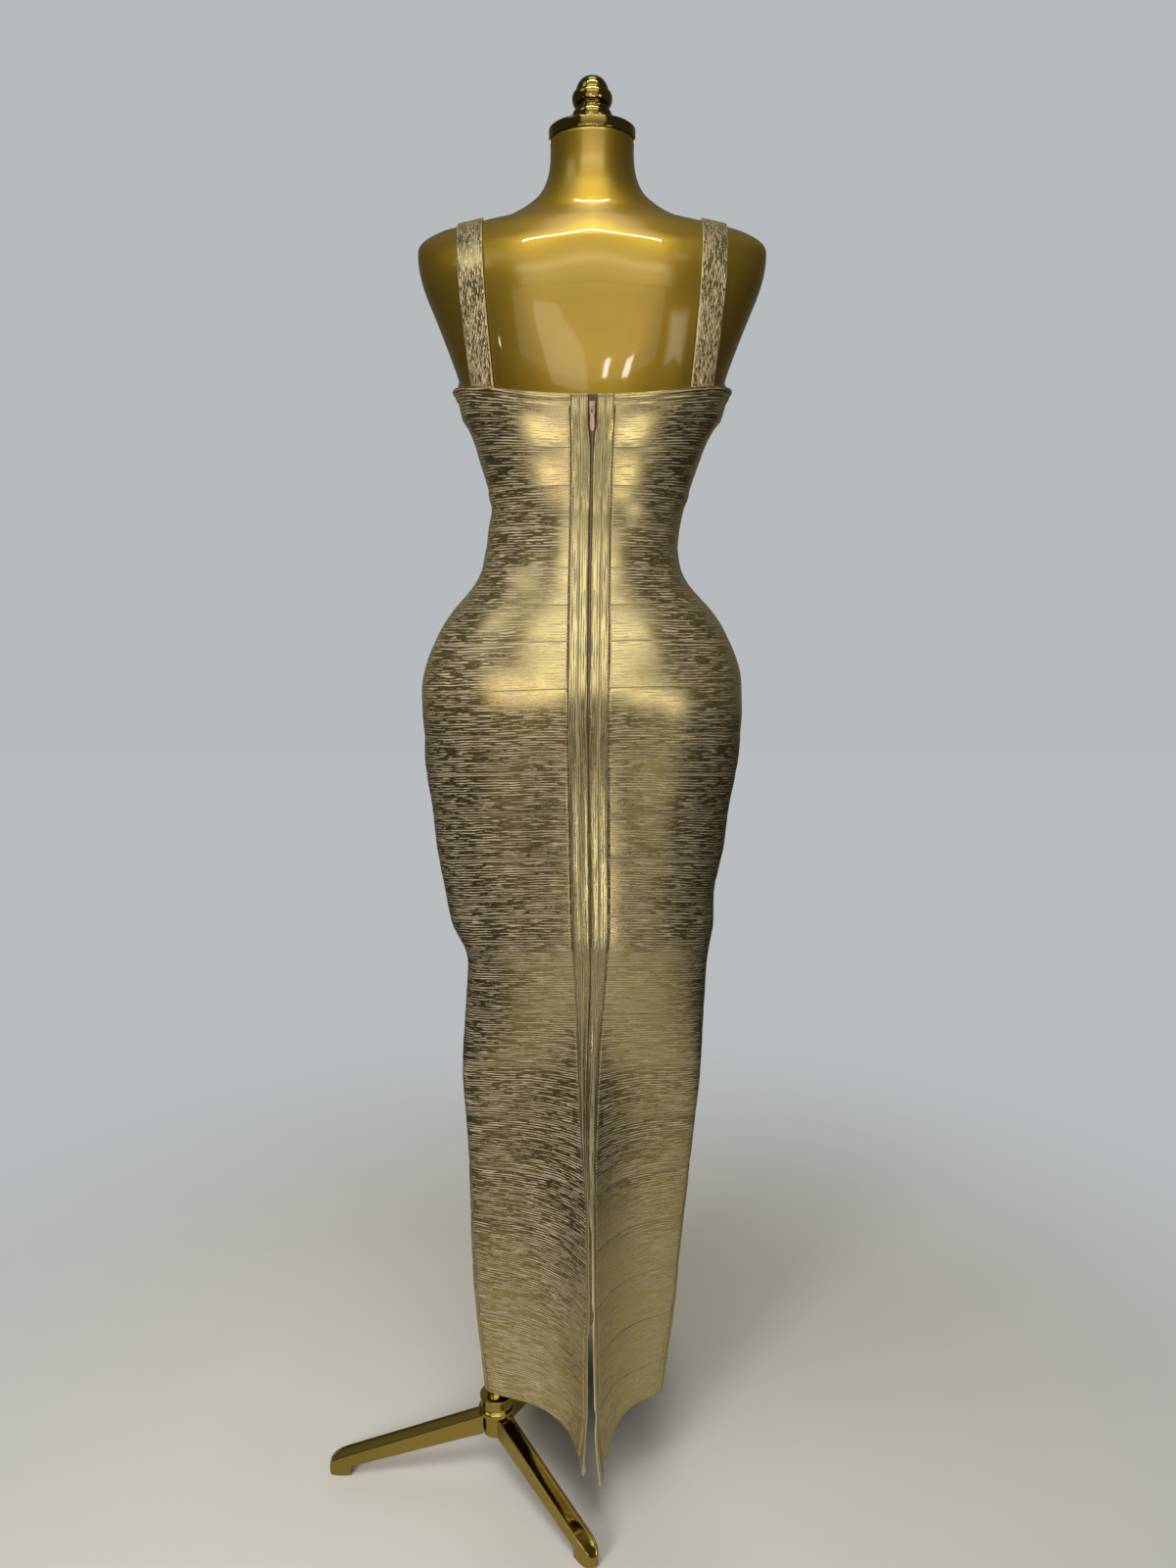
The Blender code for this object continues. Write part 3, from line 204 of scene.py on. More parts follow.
class DressSettings(bpy.types.PropertyGroup):
    wall: length("Cloth wall", 0.0018, "Thickness of the doubled knit")
    crown: length("Strip crown", 0.0004, "How far a strip's middle stands above its seams")
    ripple: length("Ripple", 0.0005, "Depth of the cloth's small ripples")
    strap_width: length("Strap width", 0.027, "Width of a shoulder strap")
    tooth_pitch: length("Zip pitch", 0.0015, "Distance from one zip tooth to the next")
    stitch_pitch: length("Stitch pitch", 0.0038, "Distance from one stitch to the next")
    foil: colour("Foil", (0.79, 0.69, 0.35), "Colour of the metal foil")
    yarn: colour("Yarn", (0.46, 0.37, 0.255), "Colour of the yarn between the foil streaks")
    tape: colour("Zip tape", (0.12, 0.075, 0.058), "Colour of the zip's tape")
    zip_paint: colour("Zip paint", (0.52, 0.345, 0.265), "Enamel of the slider and pull")


class FormSettings(bpy.types.PropertyGroup):
    lacquer: colour("Lacquer", (0.55, 0.36, 0.038), "Colour of the form's metallic lacquer")
    columns: bpy.props.IntProperty(name="Columns", description="Faces round the torso",
                                   default=144, min=48, max=256)
    rows: bpy.props.IntProperty(name="Rows", description="Faces up the torso",
                                default=150, min=40, max=300)


class StandSettings(bpy.types.PropertyGroup):
    plating: colour("Plating", (0.78, 0.60, 0.17), "Colour of the polished plating")
    rib: length("Leg rib", 0.0014, "Height of the bead along a leg's upper edges")


# ---- curves through the tables ----
def smooth_rows(heights):
    """Rows of the body table at any heights, on a smooth curve through the table's rows."""
    heights = np.clip(heights, SECTIONS[0, HEIGHT], SECTIONS[-1, HEIGHT])
    index = np.searchsorted(SECTIONS[:, HEIGHT], heights, side="right") - 1
    index = np.clip(index, 0, len(SECTIONS) - 2)
    low, high = SECTIONS[index], SECTIONS[index + 1]
    before = SECTIONS[np.maximum(index - 1, 0)]
    after = SECTIONS[np.minimum(index + 2, len(SECTIONS) - 1)]
    step = high[..., :1] - low[..., :1]
    share = (heights[..., None] - low[..., :1]) / step
    slope_low = (high - before) / (high[..., :1] - before[..., :1]) * step
    slope_high = (after - low) / (after[..., :1] - low[..., :1]) * step
    return ((2 * share ** 3 - 3 * share ** 2 + 1) * low + (3 * share ** 2 - 2 * share ** 3) * high
            + (share ** 3 - 2 * share ** 2 + share) * slope_low
            + (share ** 3 - share ** 2) * slope_high)


def placket_value(heights, column):
    return np.interp(heights, PLACKETS[:, 0], PLACKETS[:, column])


def ramp(values, start, end):
    share = np.clip((values - start) / (end - start), 0.0, 1.0)
    return share * share * (3 - 2 * share)


def bell(offsets, spread):
    return np.exp(-(offsets / spread) ** 2)


def signed_power(values, power):
    return np.copysign(np.abs(values) ** power, values)


def unit(vectors):
    return vectors / np.linalg.norm(vectors, axis=-1, keepdims=True)


def body_points(heights, turns):
    """Points of the body surface about the form's axis; turn 0 is the centre back."""
    heights, turns = np.broadcast_arrays(np.asarray(heights, float), np.asarray(turns, float))
    row = smooth_rows(heights)
    sine, cosine = np.sin(turns), np.cos(turns)
    side = np.where(sine >= 0, row[..., LEFT], row[..., RIGHT])
    square = np.where(cosine >= 0, row[..., SQUARE], np.minimum(row[..., SQUARE], FRONT_SQUARE_MOST))
    reach = np.where(cosine >= 0, row[..., BACK] - row[..., WIDEST], row[..., FRONT] + row[..., WIDEST])
    x = side * signed_power(sine, 2 / square)
    y = row[..., WIDEST] + reach * signed_power(cosine, 2 / square)
    rest = math.exp(-1 / PROW_REACH)
    from_gap = np.maximum(np.abs(x) - placket_value(heights, INNER), 0.0)
    prow = row[..., PROW] * (np.exp(-from_gap / side / PROW_REACH) - rest) / (1 - rest)
    y = y + np.where((cosine > 0) & (row[..., PROW] > 0), prow, 0.0)
    for face, middle, height, across, upward, out in SWELLS:
        there = np.clip(np.abs(cosine) * 3, 0.0, 1.0) * (cosine * face > 0)
        y = y + face * out * there * bell(x - middle, across) * bell(heights - height, upward)
    return np.stack([x, y, heights], -1)


def turn_of_x(heights, x):
    """Turn at which the body's back is at an x."""
    row = smooth_rows(heights)
    side = np.where(x >= 0, row[..., LEFT], row[..., RIGHT])
    return np.copysign(np.arcsin(np.clip(np.abs(x) / side, 0, 1) ** (row[..., SQUARE] / 2)), x)


def slit_turn(heights, x):
    """Turn at x beside the middle line between the plackets."""
    return turn_of_x(heights, placket_value(heights, MIDDLE) + x)


def seam_level(height, turns):
    """Height of a seam at each turn: lifted behind, tilted at the hips, dipped at the top edge."""
    behind = np.maximum(np.cos(turns), 0.0)
    lift = SEAM_LIFT * bell(height - SEAM_LIFT_HEIGHT, SEAM_LIFT_SPREAD) * behind ** 1.5
    tilt = SEAM_TILT * bell(height - SEAM_TILT_HEIGHT, SEAM_TILT_SPREAD) * np.sin(turns)
    share = np.clip((height - TOP_DIP_FROM) / (TOP_EDGE - TOP_DIP_FROM), 0.0, 1.0)
    return height + lift - tilt - TOP_EDGE_DIP * share * behind ** 3


def top_edge(turns):
    """Height of the dress's top edge, which rises in front and dips over the bust."""
    ahead = np.maximum(-np.cos(turns), 0.0)
    rise = FRONT_RISE * ramp(ahead, 0.0, 0.75) - FRONT_DIP * ramp(ahead, 0.75, 1.0)
    return seam_level(TOP_EDGE, turns) + rise


def hem_edge(turns):
    """Height of the hem, which runs down to a point on each side of the slit."""
    drop = np.where(turns >= 0, HEM_DROP[1], HEM_DROP[-1])
    gap = placket_value(HEM_HEIGHT - drop, INNER)
    x = np.abs(body_points(HEM_HEIGHT, turns)[..., 0])
    dropped = HEM_HEIGHT - drop * np.exp(-np.maximum(x - gap, 0.0) / HEM_DROP_REACH)
    return np.where(np.cos(turns) > 0, dropped, HEM_HEIGHT)


def cloth_ease(heights, turns):
    """Gap between the body table's surface and the cloth's inner face."""
    depth = top_edge(turns) - heights
    near_top = 1 - ramp(depth, 0.6 * TOP_EASE_DEPTH, TOP_EASE_DEPTH)
    side = np.abs(np.sin(turns)) ** 6
    lip = SIDE_LIP * bell(depth, LIP_SPREAD) + SIDE_BUCKLE * bell(depth - BUCKLE_DEPTH, BUCKLE_SPREAD)
    return CLOTH_EASE + (TOP_EASE - CLOTH_EASE) * near_top + side * lip


def side_seam_turn(heights):
    """Turn of the left side seam, which swings back towards the hem."""
    share = ramp(heights, SEAM_HEIGHTS[-1], FORM_BOTTOM)
    return HEM_SEAM_TURN + (SIDE_SEAM_TURN - HEM_SEAM_TURN) * share


# ---- grids of points ----
def row_arc(points):
    """Length along each row of a grid, from its first column."""
    steps = np.linalg.norm(np.diff(points, axis=1), axis=-1)
    return np.hstack([np.zeros((len(points), 1)), np.cumsum(steps, axis=1)])


def even_turns(heights, start, stop, count, samples=321):
    """Turns that split each row's arc evenly; start and stop are one turn for each row."""
    turns = start[:, None] + (stop - start)[:, None] * np.linspace(0.0, 1.0, samples)
    arcs = row_arc(body_points(heights[:, None], turns)[..., :2])
    return np.stack([np.interp(np.linspace(0.0, arc[-1], count), arc, row)
                     for arc, row in zip(arcs, turns)])


def outward_of(points, closed=False):
    """Unit outward normals of a grid of points about the form's axis."""
    if closed:
        padded = np.concatenate([points[:, -1:], points, points[:, :1]], axis=1)
        across = padded[:, 2:] - padded[:, :-2]
    else:
        across = np.gradient(points, axis=1)
    upward = np.gradient(points, axis=0)
    normal = np.cross(upward, across)
    normal /= np.linalg.norm(normal, axis=-1, keepdims=True) + 1e-12
    outward = np.sum(normal[..., :2] * points[..., :2])
    return normal * (1 if outward > 0 else -1)


def wander(u, v, across, upward, seed):
    """Smooth noise from -1 to 1 over a grid, with its grain size along each direction."""
    flat = [noise.noise(Vector((a / across, b / upward, seed)))
            for a, b in zip(np.ravel(u), np.ravel(v))]
    return np.array(flat).reshape(np.shape(u))


def mesh_data(name, points, faces, uvs, floats):
    """Mesh of points about the form's axis, with a UV map in metres and float attributes."""
    data = bpy.data.meshes.new(name)
    data.from_pydata((points.reshape(-1, 3) + np.array(AXIS)).tolist(), [], faces)
    data.uv_layers.new(name="UVMap").data.foreach_set("uv", np.array(uvs).ravel())
    for key, values in floats.items():
        attribute = data.attributes.new(key, "FLOAT", "POINT")
        attribute.data.foreach_set("value", np.ascontiguousarray(values, float).ravel())
    return data


def grid_object(name, points, u, v, material, wall, closed=False, outward=None, **floats):
    """Walled sheet from a grid, with u and v in metres as its UV map."""
    rows, columns = points.shape[:2]
    last = columns - 1
    outward = outward_of(points, closed) if outward is None else outward
    i, j = rows // 2, columns // 2
    here = points[i, j]
    facing = np.cross(points[i, (j + 1) % columns] - here, points[i + 1, j] - here)
    inside_out = np.dot(facing, outward[i, j]) < 0
    if closed:
        u = np.column_stack([u, u[:, 0] + 2 * u[:, last] - u[:, last - 1]])
        v = np.column_stack([v, v[:, last]])
        last = columns
    faces, uvs = [], []
    for row in range(rows - 1):
        for column in range(last):
            loop = [(row, column), (row, column + 1), (row + 1, column + 1), (row + 1, column)]
            if inside_out:
                loop.reverse()
            faces.append([r * columns + c % columns for r, c in loop])
            uvs += [(u[r, c], v[r, c]) for r, c in loop]
    data = mesh_data(name, points, faces, uvs, floats)
    data.shade_smooth()
    piece = mesh_object(name, data, material)
    solidify = piece.modifiers.new("Wall", "SOLIDIFY")
    solidify.thickness = wall
    solidify.offset = -1.0
    return piece


def linked(name, data):
    """New object at the origin for a mesh, a lamp or a camera."""
    thing = bpy.data.objects.new(name, data)
    bpy.context.scene.collection.objects.link(thing)
    return thing


def mesh_object(name, data, material, smooth_angle=None):
    """Object of a mesh with its material, and smooth up to an angle if one is given."""
    if smooth_angle is not None:
        data.shade_smooth()
        data.set_sharp_from_angle(angle=math.radians(smooth_angle))
    data.materials.clear()
    data.materials.append(material)
    return linked(name, data)


def bmesh_object(name, mesh, material, smooth_angle=None):
    """Object from a bmesh, with its faces turned outwards."""
    bmesh.ops.recalc_face_normals(mesh, faces=mesh.faces)
    data = bpy.data.meshes.new(name)
    mesh.to_mesh(data)
    mesh.free()
    return mesh_object(name, data, material, smooth_angle)


def bridge(mesh, low, high):
    """Faces between two rings that have as many points."""
    for k in range(len(low)):
        after = (k + 1) % len(low)
        mesh.faces.new((low[k], low[after], high[after], high[k]))


def stand_in(piece, node):
    """The piece, once it takes the place of a CAD node."""
    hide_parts(node)
    return piece


# ---- cloth surfaces ----
STRIP_STEPS = (0.0, 0.025, 0.08, 0.22, 0.40, 0.60, 0.78, 0.92, 0.975)


def strip_rows(seams, top_drop):
    """Rows of a panel from hem to top: height functions, nominal heights, places in the strip."""
    edges = [(hem_edge, HEM_HEIGHT)]
    edges += [(functools.partial(seam_level, level), level) for level in reversed(seams)]
    edges.append((lambda turns: top_edge(turns) - top_drop, TOP_EDGE - top_drop))
    rows = []
    for (low, low_height), (high, high_height) in zip(edges, edges[1:]):
        for step in STRIP_STEPS:
            rows.append((low, high, step, low_height + (high_height - low_height) * step))
    rows.append((edges[-2][0], edges[-1][0], 1.0, edges[-1][1]))
    return rows


def rows_to_heights(rows, turns):
    return np.stack([(1 - step) * low(turns[index]) + step * high(turns[index])
                     for index, (low, high, step, _) in enumerate(rows)])


def row_grids(rows, count):
    """Place in its strip and nominal height for rows of that many points."""
    return np.array([row[2:] for row in rows]).T[..., None] * np.ones(count)


def panel_surface(rows, start, stop, count):
    """Grid of turns and heights for a panel between two sets of turns that depend on height."""
    nominal = np.array([row[3] for row in rows])
    turns = even_turns(nominal, start(nominal), stop(nominal), count)
    heights = rows_to_heights(rows, turns)
    turns = even_turns(heights.mean(axis=1), start(heights[:, 0]), stop(heights[:, -1]), count)
    return turns, rows_to_heights(rows, turns)


BACK_COLUMNS, FRONT_COLUMNS = 65, 97
PLACKET_GAP = 0.0002
GATHER, GATHER_REACH = 0.0006, 0.010
FOLD, FOLD_HEIGHT, FOLD_SPREAD = 0.0016, 1.236, 0.006
SEAM_WAVER = 0.0007
HEM_SHADE = 0.25


def dress_panel(name, rows, start, stop, count, material, settings, both_sides=False):
    """One panel of strips, crowned between its seams, with the small ripples of stretched knit."""
    turns, heights = panel_surface(rows, start, stop, count)
    base = body_points(heights, turns)
    u = row_arc(base)
    place, nominal = row_grids(rows, count)
    seam = (np.minimum(place, 1 - place) < 1e-6).astype(float)
    seam[0] = HEM_SHADE
    if not both_sides:
        seam[:, -1] = 1.0
    crown = settings.crown * (1 - np.abs(2 * place - 1) ** 4)
    lean = wander(u, nominal, 0.05, 0.10, 3.7)
    ripple = settings.ripple * (wander(u, nominal, 0.060, 0.014, 1.3) + 0.6 * lean)
    from_side = np.minimum(u, u[:, -1:] - u) if both_sides else u
    gather = GATHER * np.exp(-from_side / GATHER_REACH) * wander(u * 0, nominal, 1.0, 0.006, 9.1)
    fold = FOLD * bell(nominal - FOLD_HEIGHT, FOLD_SPREAD) * np.abs(np.sin(turns)) ** 10
    out = settings.wall + crown + ripple + gather + fold + cloth_ease(heights, turns)
    points = base + outward_of(base) * out[..., None]
    points[..., 2] += SEAM_WAVER * wander(u, nominal, 0.045, 0.05, 5.5) * (place > 0)
    return grid_object(name, points, u, nominal, material, settings.wall, seam=seam)


def placket_edge(side, column, inset=0.0):
    """Turn of a placket's edge, as a function of height."""
    return lambda heights: slit_turn(heights, side * (placket_value(heights, column) + inset))


def make_panels(settings, material):
    """Both back halves and the front."""
    made = []
    top_drop = BINDING_WIDTH * 0.75
    for word, side in FACING.items():
        panel = dress_panel("dress_back_" + word, strip_rows(SEAM_HEIGHTS, top_drop),
                            placket_edge(side, OUTER, PLACKET_GAP),
                            lambda heights: side * side_seam_turn(heights), BACK_COLUMNS,
                            material, settings)
        made.append(stand_in(panel, "back_panel_" + word))
    front = dress_panel("dress_front", strip_rows((FRONT_SEAM,) + SEAM_HEIGHTS, top_drop),
                        side_seam_turn, lambda heights: 2 * math.pi - side_seam_turn(heights),
                        FRONT_COLUMNS, material, settings, both_sides=True)
    return made + [stand_in(front, "front_panel")]


# across a placket: share of its width, relief as a share of PLACKET_SWELL, shade of its stitching
PLACKET_STEPS = np.array((0.0, 0.03, 0.10, 0.22, 0.36, 0.48, 0.52, 0.64, 0.78, 0.90, 0.96, 1.0))
PLACKET_RELIEF = np.array((-0.9, -0.2, 0.20, 0.28, 0.20, 0.0, 0.0, 0.20, 0.28, 0.20, 0.05, -0.3))
PLACKET_LINES = np.array((0.0, 0.0, 0.0, 0.0, 0.0, 0.6, 0.6, 0.0, 0.0, 0.0, 0.0, 1.0))
PLACKET_WIDTH, PLACKET_SWELL, PLACKET_RIPPLE = 0.020, 0.0006, 0.0004
PLACKET_ROLL, PLACKET_ROLL_FROM, PLACKET_ROLL_TO = 0.0012, 1.333, 1.337
RAW_EDGE, RAW_REACH, RAW_BELOW, RAW_ABOVE, RAW_HEM = {1: 0.3, -1: 0.9}, 0.0016, 0.40, 0.52, 0.004


def make_plackets(settings, material):
    """Upright strips beside the zip and down the slit, frayed along the slit and the hem."""
    made = []
    rows = strip_rows(SEAM_HEIGHTS, 0.0)
    _, nominal = row_grids(rows, len(PLACKET_STEPS))
    across = PLACKET_STEPS * PLACKET_WIDTH * np.ones_like(nominal)
    lines = PLACKET_LINES * np.ones_like(nominal)
    for word, side in FACING.items():
        heights = nominal
        for _ in range(3):
            inner, outer = placket_value(heights, INNER), placket_value(heights, OUTER)
            turns = slit_turn(heights, side * (inner + (outer - inner) * PLACKET_STEPS))
            heights = rows_to_heights(rows, turns)
        base = body_points(heights, turns)
        relief = PLACKET_SWELL * PLACKET_RELIEF
        ripple = PLACKET_RIPPLE * wander(across, nominal, 0.010, 0.05, 2.2 + side)
        top_roll = -PLACKET_ROLL * ramp(heights, PLACKET_ROLL_FROM, PLACKET_ROLL_TO)
        out = settings.wall + relief + ripple + top_roll + cloth_ease(heights, turns)
        points = base + outward_of(base) * out[..., None]
        raw = np.exp(-across / RAW_REACH) * (1 - ramp(heights, RAW_BELOW, RAW_ABOVE)) * RAW_EDGE[side]
        raw = np.maximum(raw, 1 - ramp(heights - hem_edge(turns), 0.0, RAW_HEM))
        piece = grid_object("dress_placket_" + word, points, nominal, across, material,
                            settings.wall, seam=lines, raw=raw)
        made.append(stand_in(piece, "placket_" + word))
    return made


# Rolled edge in millimetres: out from the body and down from the top edge, once round.
BINDING_LOOP = ((2.9, 12.0), (3.15, 10.0), (3.2, 7.8), (2.9, 6.3), (2.6, 5.7), (3.3, 5.0),
                (3.8, 3.6), (3.8, 2.0), (3.2, 0.8), (2.2, 0.1), (1.2, 0.2), (0.4, 1.0),
                (0.1, 3.0), (0.1, 11.8))
BINDING_COLUMNS, BINDING_GAP, BINDING_WAVE = 181, 0.0003, 0.0003
# which point of the loop is stitched, and how far out its outer face starts
BINDING_STITCHED, BINDING_OUTSIDE = 4, 1.5


def make_binding(material):
    """Rolled band along the top edge, one closed loop of cloth swept from placket to placket."""
    height = np.full(1, TOP_EDGE - TOP_EDGE_DIP)
    start, stop = (placket_edge(side, OUTER, BINDING_GAP)(height) for side in (1, -1))
    turns = even_turns(height + 0.01, start, stop + 2 * math.pi, BINDING_COLUMNS)[0]
    wave = wander(turns * 0.14, turns * 0, 0.02, 1.0, 4.4) * BINDING_WAVE
    grid, across = [], []
    for out, drop in BINDING_LOOP:
        heights = top_edge(turns) - drop / 1000
        base = body_points(heights, turns)
        flat = outward_of(np.stack([base, body_points(heights + NEAR, turns)]))[0]
        reach = cloth_ease(heights, turns) + out / 1000 + wave
        grid.append(base + flat * reach[:, None])
        across.append(drop / 1000 if out > BINDING_OUTSIDE else -drop / 1000)
    points = np.stack(grid)
    arc = row_arc(points)
    loop, count = arc.shape
    faces, uvs = [], []
    for row in range(loop):
        after = (row + 1) % loop
        for column in range(count - 1):
            corners = ((row, column), (after, column), (after, column + 1), (row, column + 1))
            faces.append([r * count + c for r, c in corners])
            uvs += [(arc[r, c], across[r]) for r, c in corners]
    for column in (0, count - 1):
        faces.append([row * count + column for row in range(loop)])
        uvs += [(0.0, row * 0.001) for row in range(loop)]
    seam = np.zeros_like(arc)
    seam[BINDING_STITCHED] = 0.9
    data = mesh_data("dress_top_binding", points, faces, uvs, {"seam": seam})
    mesh = bmesh.new()
    mesh.from_mesh(data)
    bmesh.ops.recalc_face_normals(mesh, faces=mesh.faces)
    mesh.to_mesh(data)
    mesh.free()
    return [stand_in(mesh_object("dress_top_binding", data, material, 60), "top_binding")]


# ---- straps ----
@functools.lru_cache(maxsize=None)
def form_surface():
    """Grid of the form's outer face: slimmer where the dress covers it."""
    settings = bpy.context.scene.form_settings
    half = settings.rows // 2
    low = np.linspace(FORM_BOTTOM, SHOULDER_ROW, half)
    high = np.linspace(SHOULDER_ROW, NECK_TOP, settings.rows - half + 1)[1:]
    heights = np.concatenate([low, high])
    zero = np.zeros(len(heights))
    turns = even_turns(heights, zero, zero + 2 * math.pi, settings.columns + 1)[:, :-1]
    base = body_points(heights[:, None], turns)
    normal = unit(outward_of(base, closed=True) * (1.0, 1.0, 0.0))
    wrapped = np.remainder(turns + math.pi, 2 * math.pi) - math.pi
    ease = FORM_EASE * ramp(top_edge(wrapped) - heights[:, None], FORM_EASE_FROM, FORM_EASE_TO)
    return base - normal * ease[..., None]


def grid_tree(points):
    """Search tree of a closed grid's faces, for rays."""
    rows, columns = points.shape[:2]
    faces = [(r * columns + c, r * columns + (c + 1) % columns,
              (r + 1) * columns + (c + 1) % columns, (r + 1) * columns + c)
             for r in range(rows - 1) for c in range(columns)]
    return BVHTree.FromPolygons(points.reshape(-1, 3).tolist(), faces)


def strap_hit(tree, x, angle):
    """Point on the form at x, seen from inside the shoulder along an angle over it."""
    start = Vector((x, 0.0, STRAP_RAY_HEIGHT))
    return tree.ray_cast(start, Vector((0.0, math.cos(angle), math.sin(angle))))[0]


def strap_end(tree, x, height, facing):
    """Angle at which the form's face behind, or in front, is at a height."""
    low, high = (-80.0, 0.0) if facing > 0 else (180.0, 250.0)
    for _ in range(30):
        middle = (low + high) / 2
        if (strap_hit(tree, x, math.radians(middle)).z < height) == (facing > 0):
            low = middle
        else:
            high = middle
    return math.radians((low + high) / 2)


def strap_middle(angle, start, stop):
    """How far a strap's middle line is from the neck at an angle over the shoulder."""
    top = math.pi / 2
    to_top = min(max((angle - start) / (top - start), 0.0), 1.0)
    past_top = min(max((angle - top) / (stop - top), 0.0), 1.0)
    middle = STRAP_BACK_X + (STRAP_TOP_X - STRAP_BACK_X) * to_top ** 0.6
    return middle + (STRAP_FRONT_X - STRAP_TOP_X) * past_top ** 1.5


STRAP_ROWS, STRAP_SWELL, STRAP_RIPPLE = 90, 0.00022, 0.00025
# across a strap: share of its width, and relief as a share of STRAP_SWELL
STRAP_STEPS = np.array((0.0, 0.03, 0.10, 0.20, 0.30, 0.40, 0.5, 0.60, 0.70, 0.80, 0.90, 0.97, 1.0))
STRAP_RELIEF = np.array((-0.5, 0.1, 0.2, 0.3, 0.05, 0.2, 0.3, 0.2, 0.05, 0.3, 0.2, 0.1, -0.5))


def make_straps(settings, material):
    """Both shoulder straps, laid over the form from the back's top edge to the front's."""
    tree = grid_tree(form_surface())
    made = []
    for word, side in FACING.items():
        start = strap_end(tree, side * STRAP_BACK_X, STRAP_BACK_END, 1)
        stop = strap_end(tree, side * STRAP_FRONT_X, STRAP_FRONT_END, -1)
        lines = []
        for row in range(STRAP_ROWS + 1):
            angle = start + (stop - start) * row / STRAP_ROWS
            middle = strap_middle(angle, start, stop)
            across = side * (middle + settings.strap_width * (STRAP_STEPS - 0.5))
            lines.append([strap_hit(tree, x, angle) for x in across])
        points = np.array(lines)
        normal = unit(np.cross(np.gradient(points, axis=0), np.gradient(points, axis=1)) * side)
        v = row_arc(points)
        u = row_arc(points.transpose(1, 0, 2)).T
        ripple = STRAP_RIPPLE * wander(u, v, 0.03, 0.012, 7.0 + side)
        out = STRAP_EASE + STRAP_WALL + STRAP_RELIEF * STRAP_SWELL + ripple
        seam = np.zeros_like(u)
        seam[:, 0] = seam[:, -1] = 1.0
        piece = grid_object("dress_strap_" + word, points + normal * out[..., None], u, v, material,
                            STRAP_WALL, outward=normal, seam=seam)
        made.append(stand_in(piece, "strap_" + word))
    return made


# ---- zip ----
def zip_front(heights, x, less):
    """Points just behind the plackets' inner faces, x to the side of the slit's middle."""
    low, turns, high = (slit_turn(heights + step, x) for step in (-NEAR, 0.0, NEAR))
    upward = body_points(heights + NEAR, high) - body_points(heights - NEAR, low)
    normal = unit(np.cross(np.array((-1.0, 0.0, 0.0)), upward))
    return body_points(heights, turns) + normal * (cloth_ease(heights, turns) - less)[..., None]


TAPE_STEPS = np.array((0.0002, 0.0006, 0.0012, 0.0030, 0.0055, 0.0080, 0.0108))
TAPE_WALL, TAPE_GAP, TAPE_ROWS = 0.0008, 0.0001, 150
TAPE_BOTTOM, TAPE_TOP = ZIP_END - 0.003, TOP_EDGE - TOP_EDGE_DIP - 0.001
COIL_STEP, COIL_GAP = 0.004, 0.0005
COIL_BOTTOM, COIL_TOP = ZIP_END + 0.024, 1.3155


def make_tapes(material):
    """Both zip tapes, just inside the plackets."""
    made = []
    heights = np.linspace(TAPE_BOTTOM, TAPE_TOP, TAPE_ROWS)
    for word, side in FACING.items():
        points = np.stack([zip_front(heights, side * x, TAPE_GAP) for x in TAPE_STEPS], axis=1)
        across = TAPE_STEPS * np.ones((len(heights), 1))
        along = heights[:, None] * np.ones_like(across)
        piece = grid_object("zip_tape_of_" + word, points, along, across, material, TAPE_WALL)
        made.append(stand_in(piece, "zip_tape_" + word))
    return made


def repeat_tree(name, pitch, size, material):
    """Geometry Nodes that set one small bead after another along a line."""
    tree = bpy.data.node_groups.new(name, "GeometryNodeTree")
    sockets = tree.interface
    sockets.new_socket("Geometry", in_out="INPUT", socket_type="NodeSocketGeometry")
    for label, default in zip(("Pitch", "Length", "Width", "Thickness"), (pitch, *size)):
        socket = sockets.new_socket(label, in_out="INPUT", socket_type="NodeSocketFloat")
        socket.default_value = default
    sockets.new_socket("Geometry", in_out="OUTPUT", socket_type="NodeSocketGeometry")
    graph = Graph(tree)
    given = graph.add("NodeGroupInput").outputs
    curve = graph.add("GeometryNodeMeshToCurve", {"Mesh": given["Geometry"]}).outputs["Curve"]
    points = graph.add("GeometryNodeCurveToPoints", {"Curve": curve, "Length": given["Pitch"]},
                       mode="LENGTH").outputs
    bead = graph.add("GeometryNodeMeshUVSphere", {"Segments": 6, "Rings": 4, "Radius": 0.5})
    beads = graph.add("GeometryNodeInstanceOnPoints", {
        "Points": points["Points"], "Rotation": points["Rotation"], "Instance": bead.outputs["Mesh"],
        "Scale": graph.vector(given["Width"], given["Thickness"], given["Length"])})
    solid = graph.add("GeometryNodeRealizeInstances", {"Geometry": beads.outputs["Instances"]})
    painted = graph.add("GeometryNodeSetMaterial", {"Geometry": solid.outputs["Geometry"],
                                                    "Material": material})
    graph.add("NodeGroupOutput", {"Geometry": painted.outputs["Geometry"]})
    return tree


def repeat_along(name, lines, tree, material):
    """One plain mesh of the tree's beads along each of the lines."""
    whole = bmesh.new()
    for line in lines:
        line_data = bpy.data.meshes.new(name + "_line")
        line_data.from_pydata(line.tolist(), [(k, k + 1) for k in range(len(line) - 1)], [])
        path = linked(name + "_line", line_data)
        path.modifiers.new("Repeat", "NODES").node_group = tree
        bpy.context.view_layer.update()
        graph = bpy.context.evaluated_depsgraph_get()
        data = bpy.data.meshes.new_from_object(path.evaluated_get(graph))
        whole.from_mesh(data)
        bpy.data.objects.remove(path)
        bpy.data.meshes.remove(data)
    data = bpy.data.meshes.new(name)
    whole.to_mesh(data)
    whole.free()
    data.shade_smooth()
    return mesh_object(name, data, material)


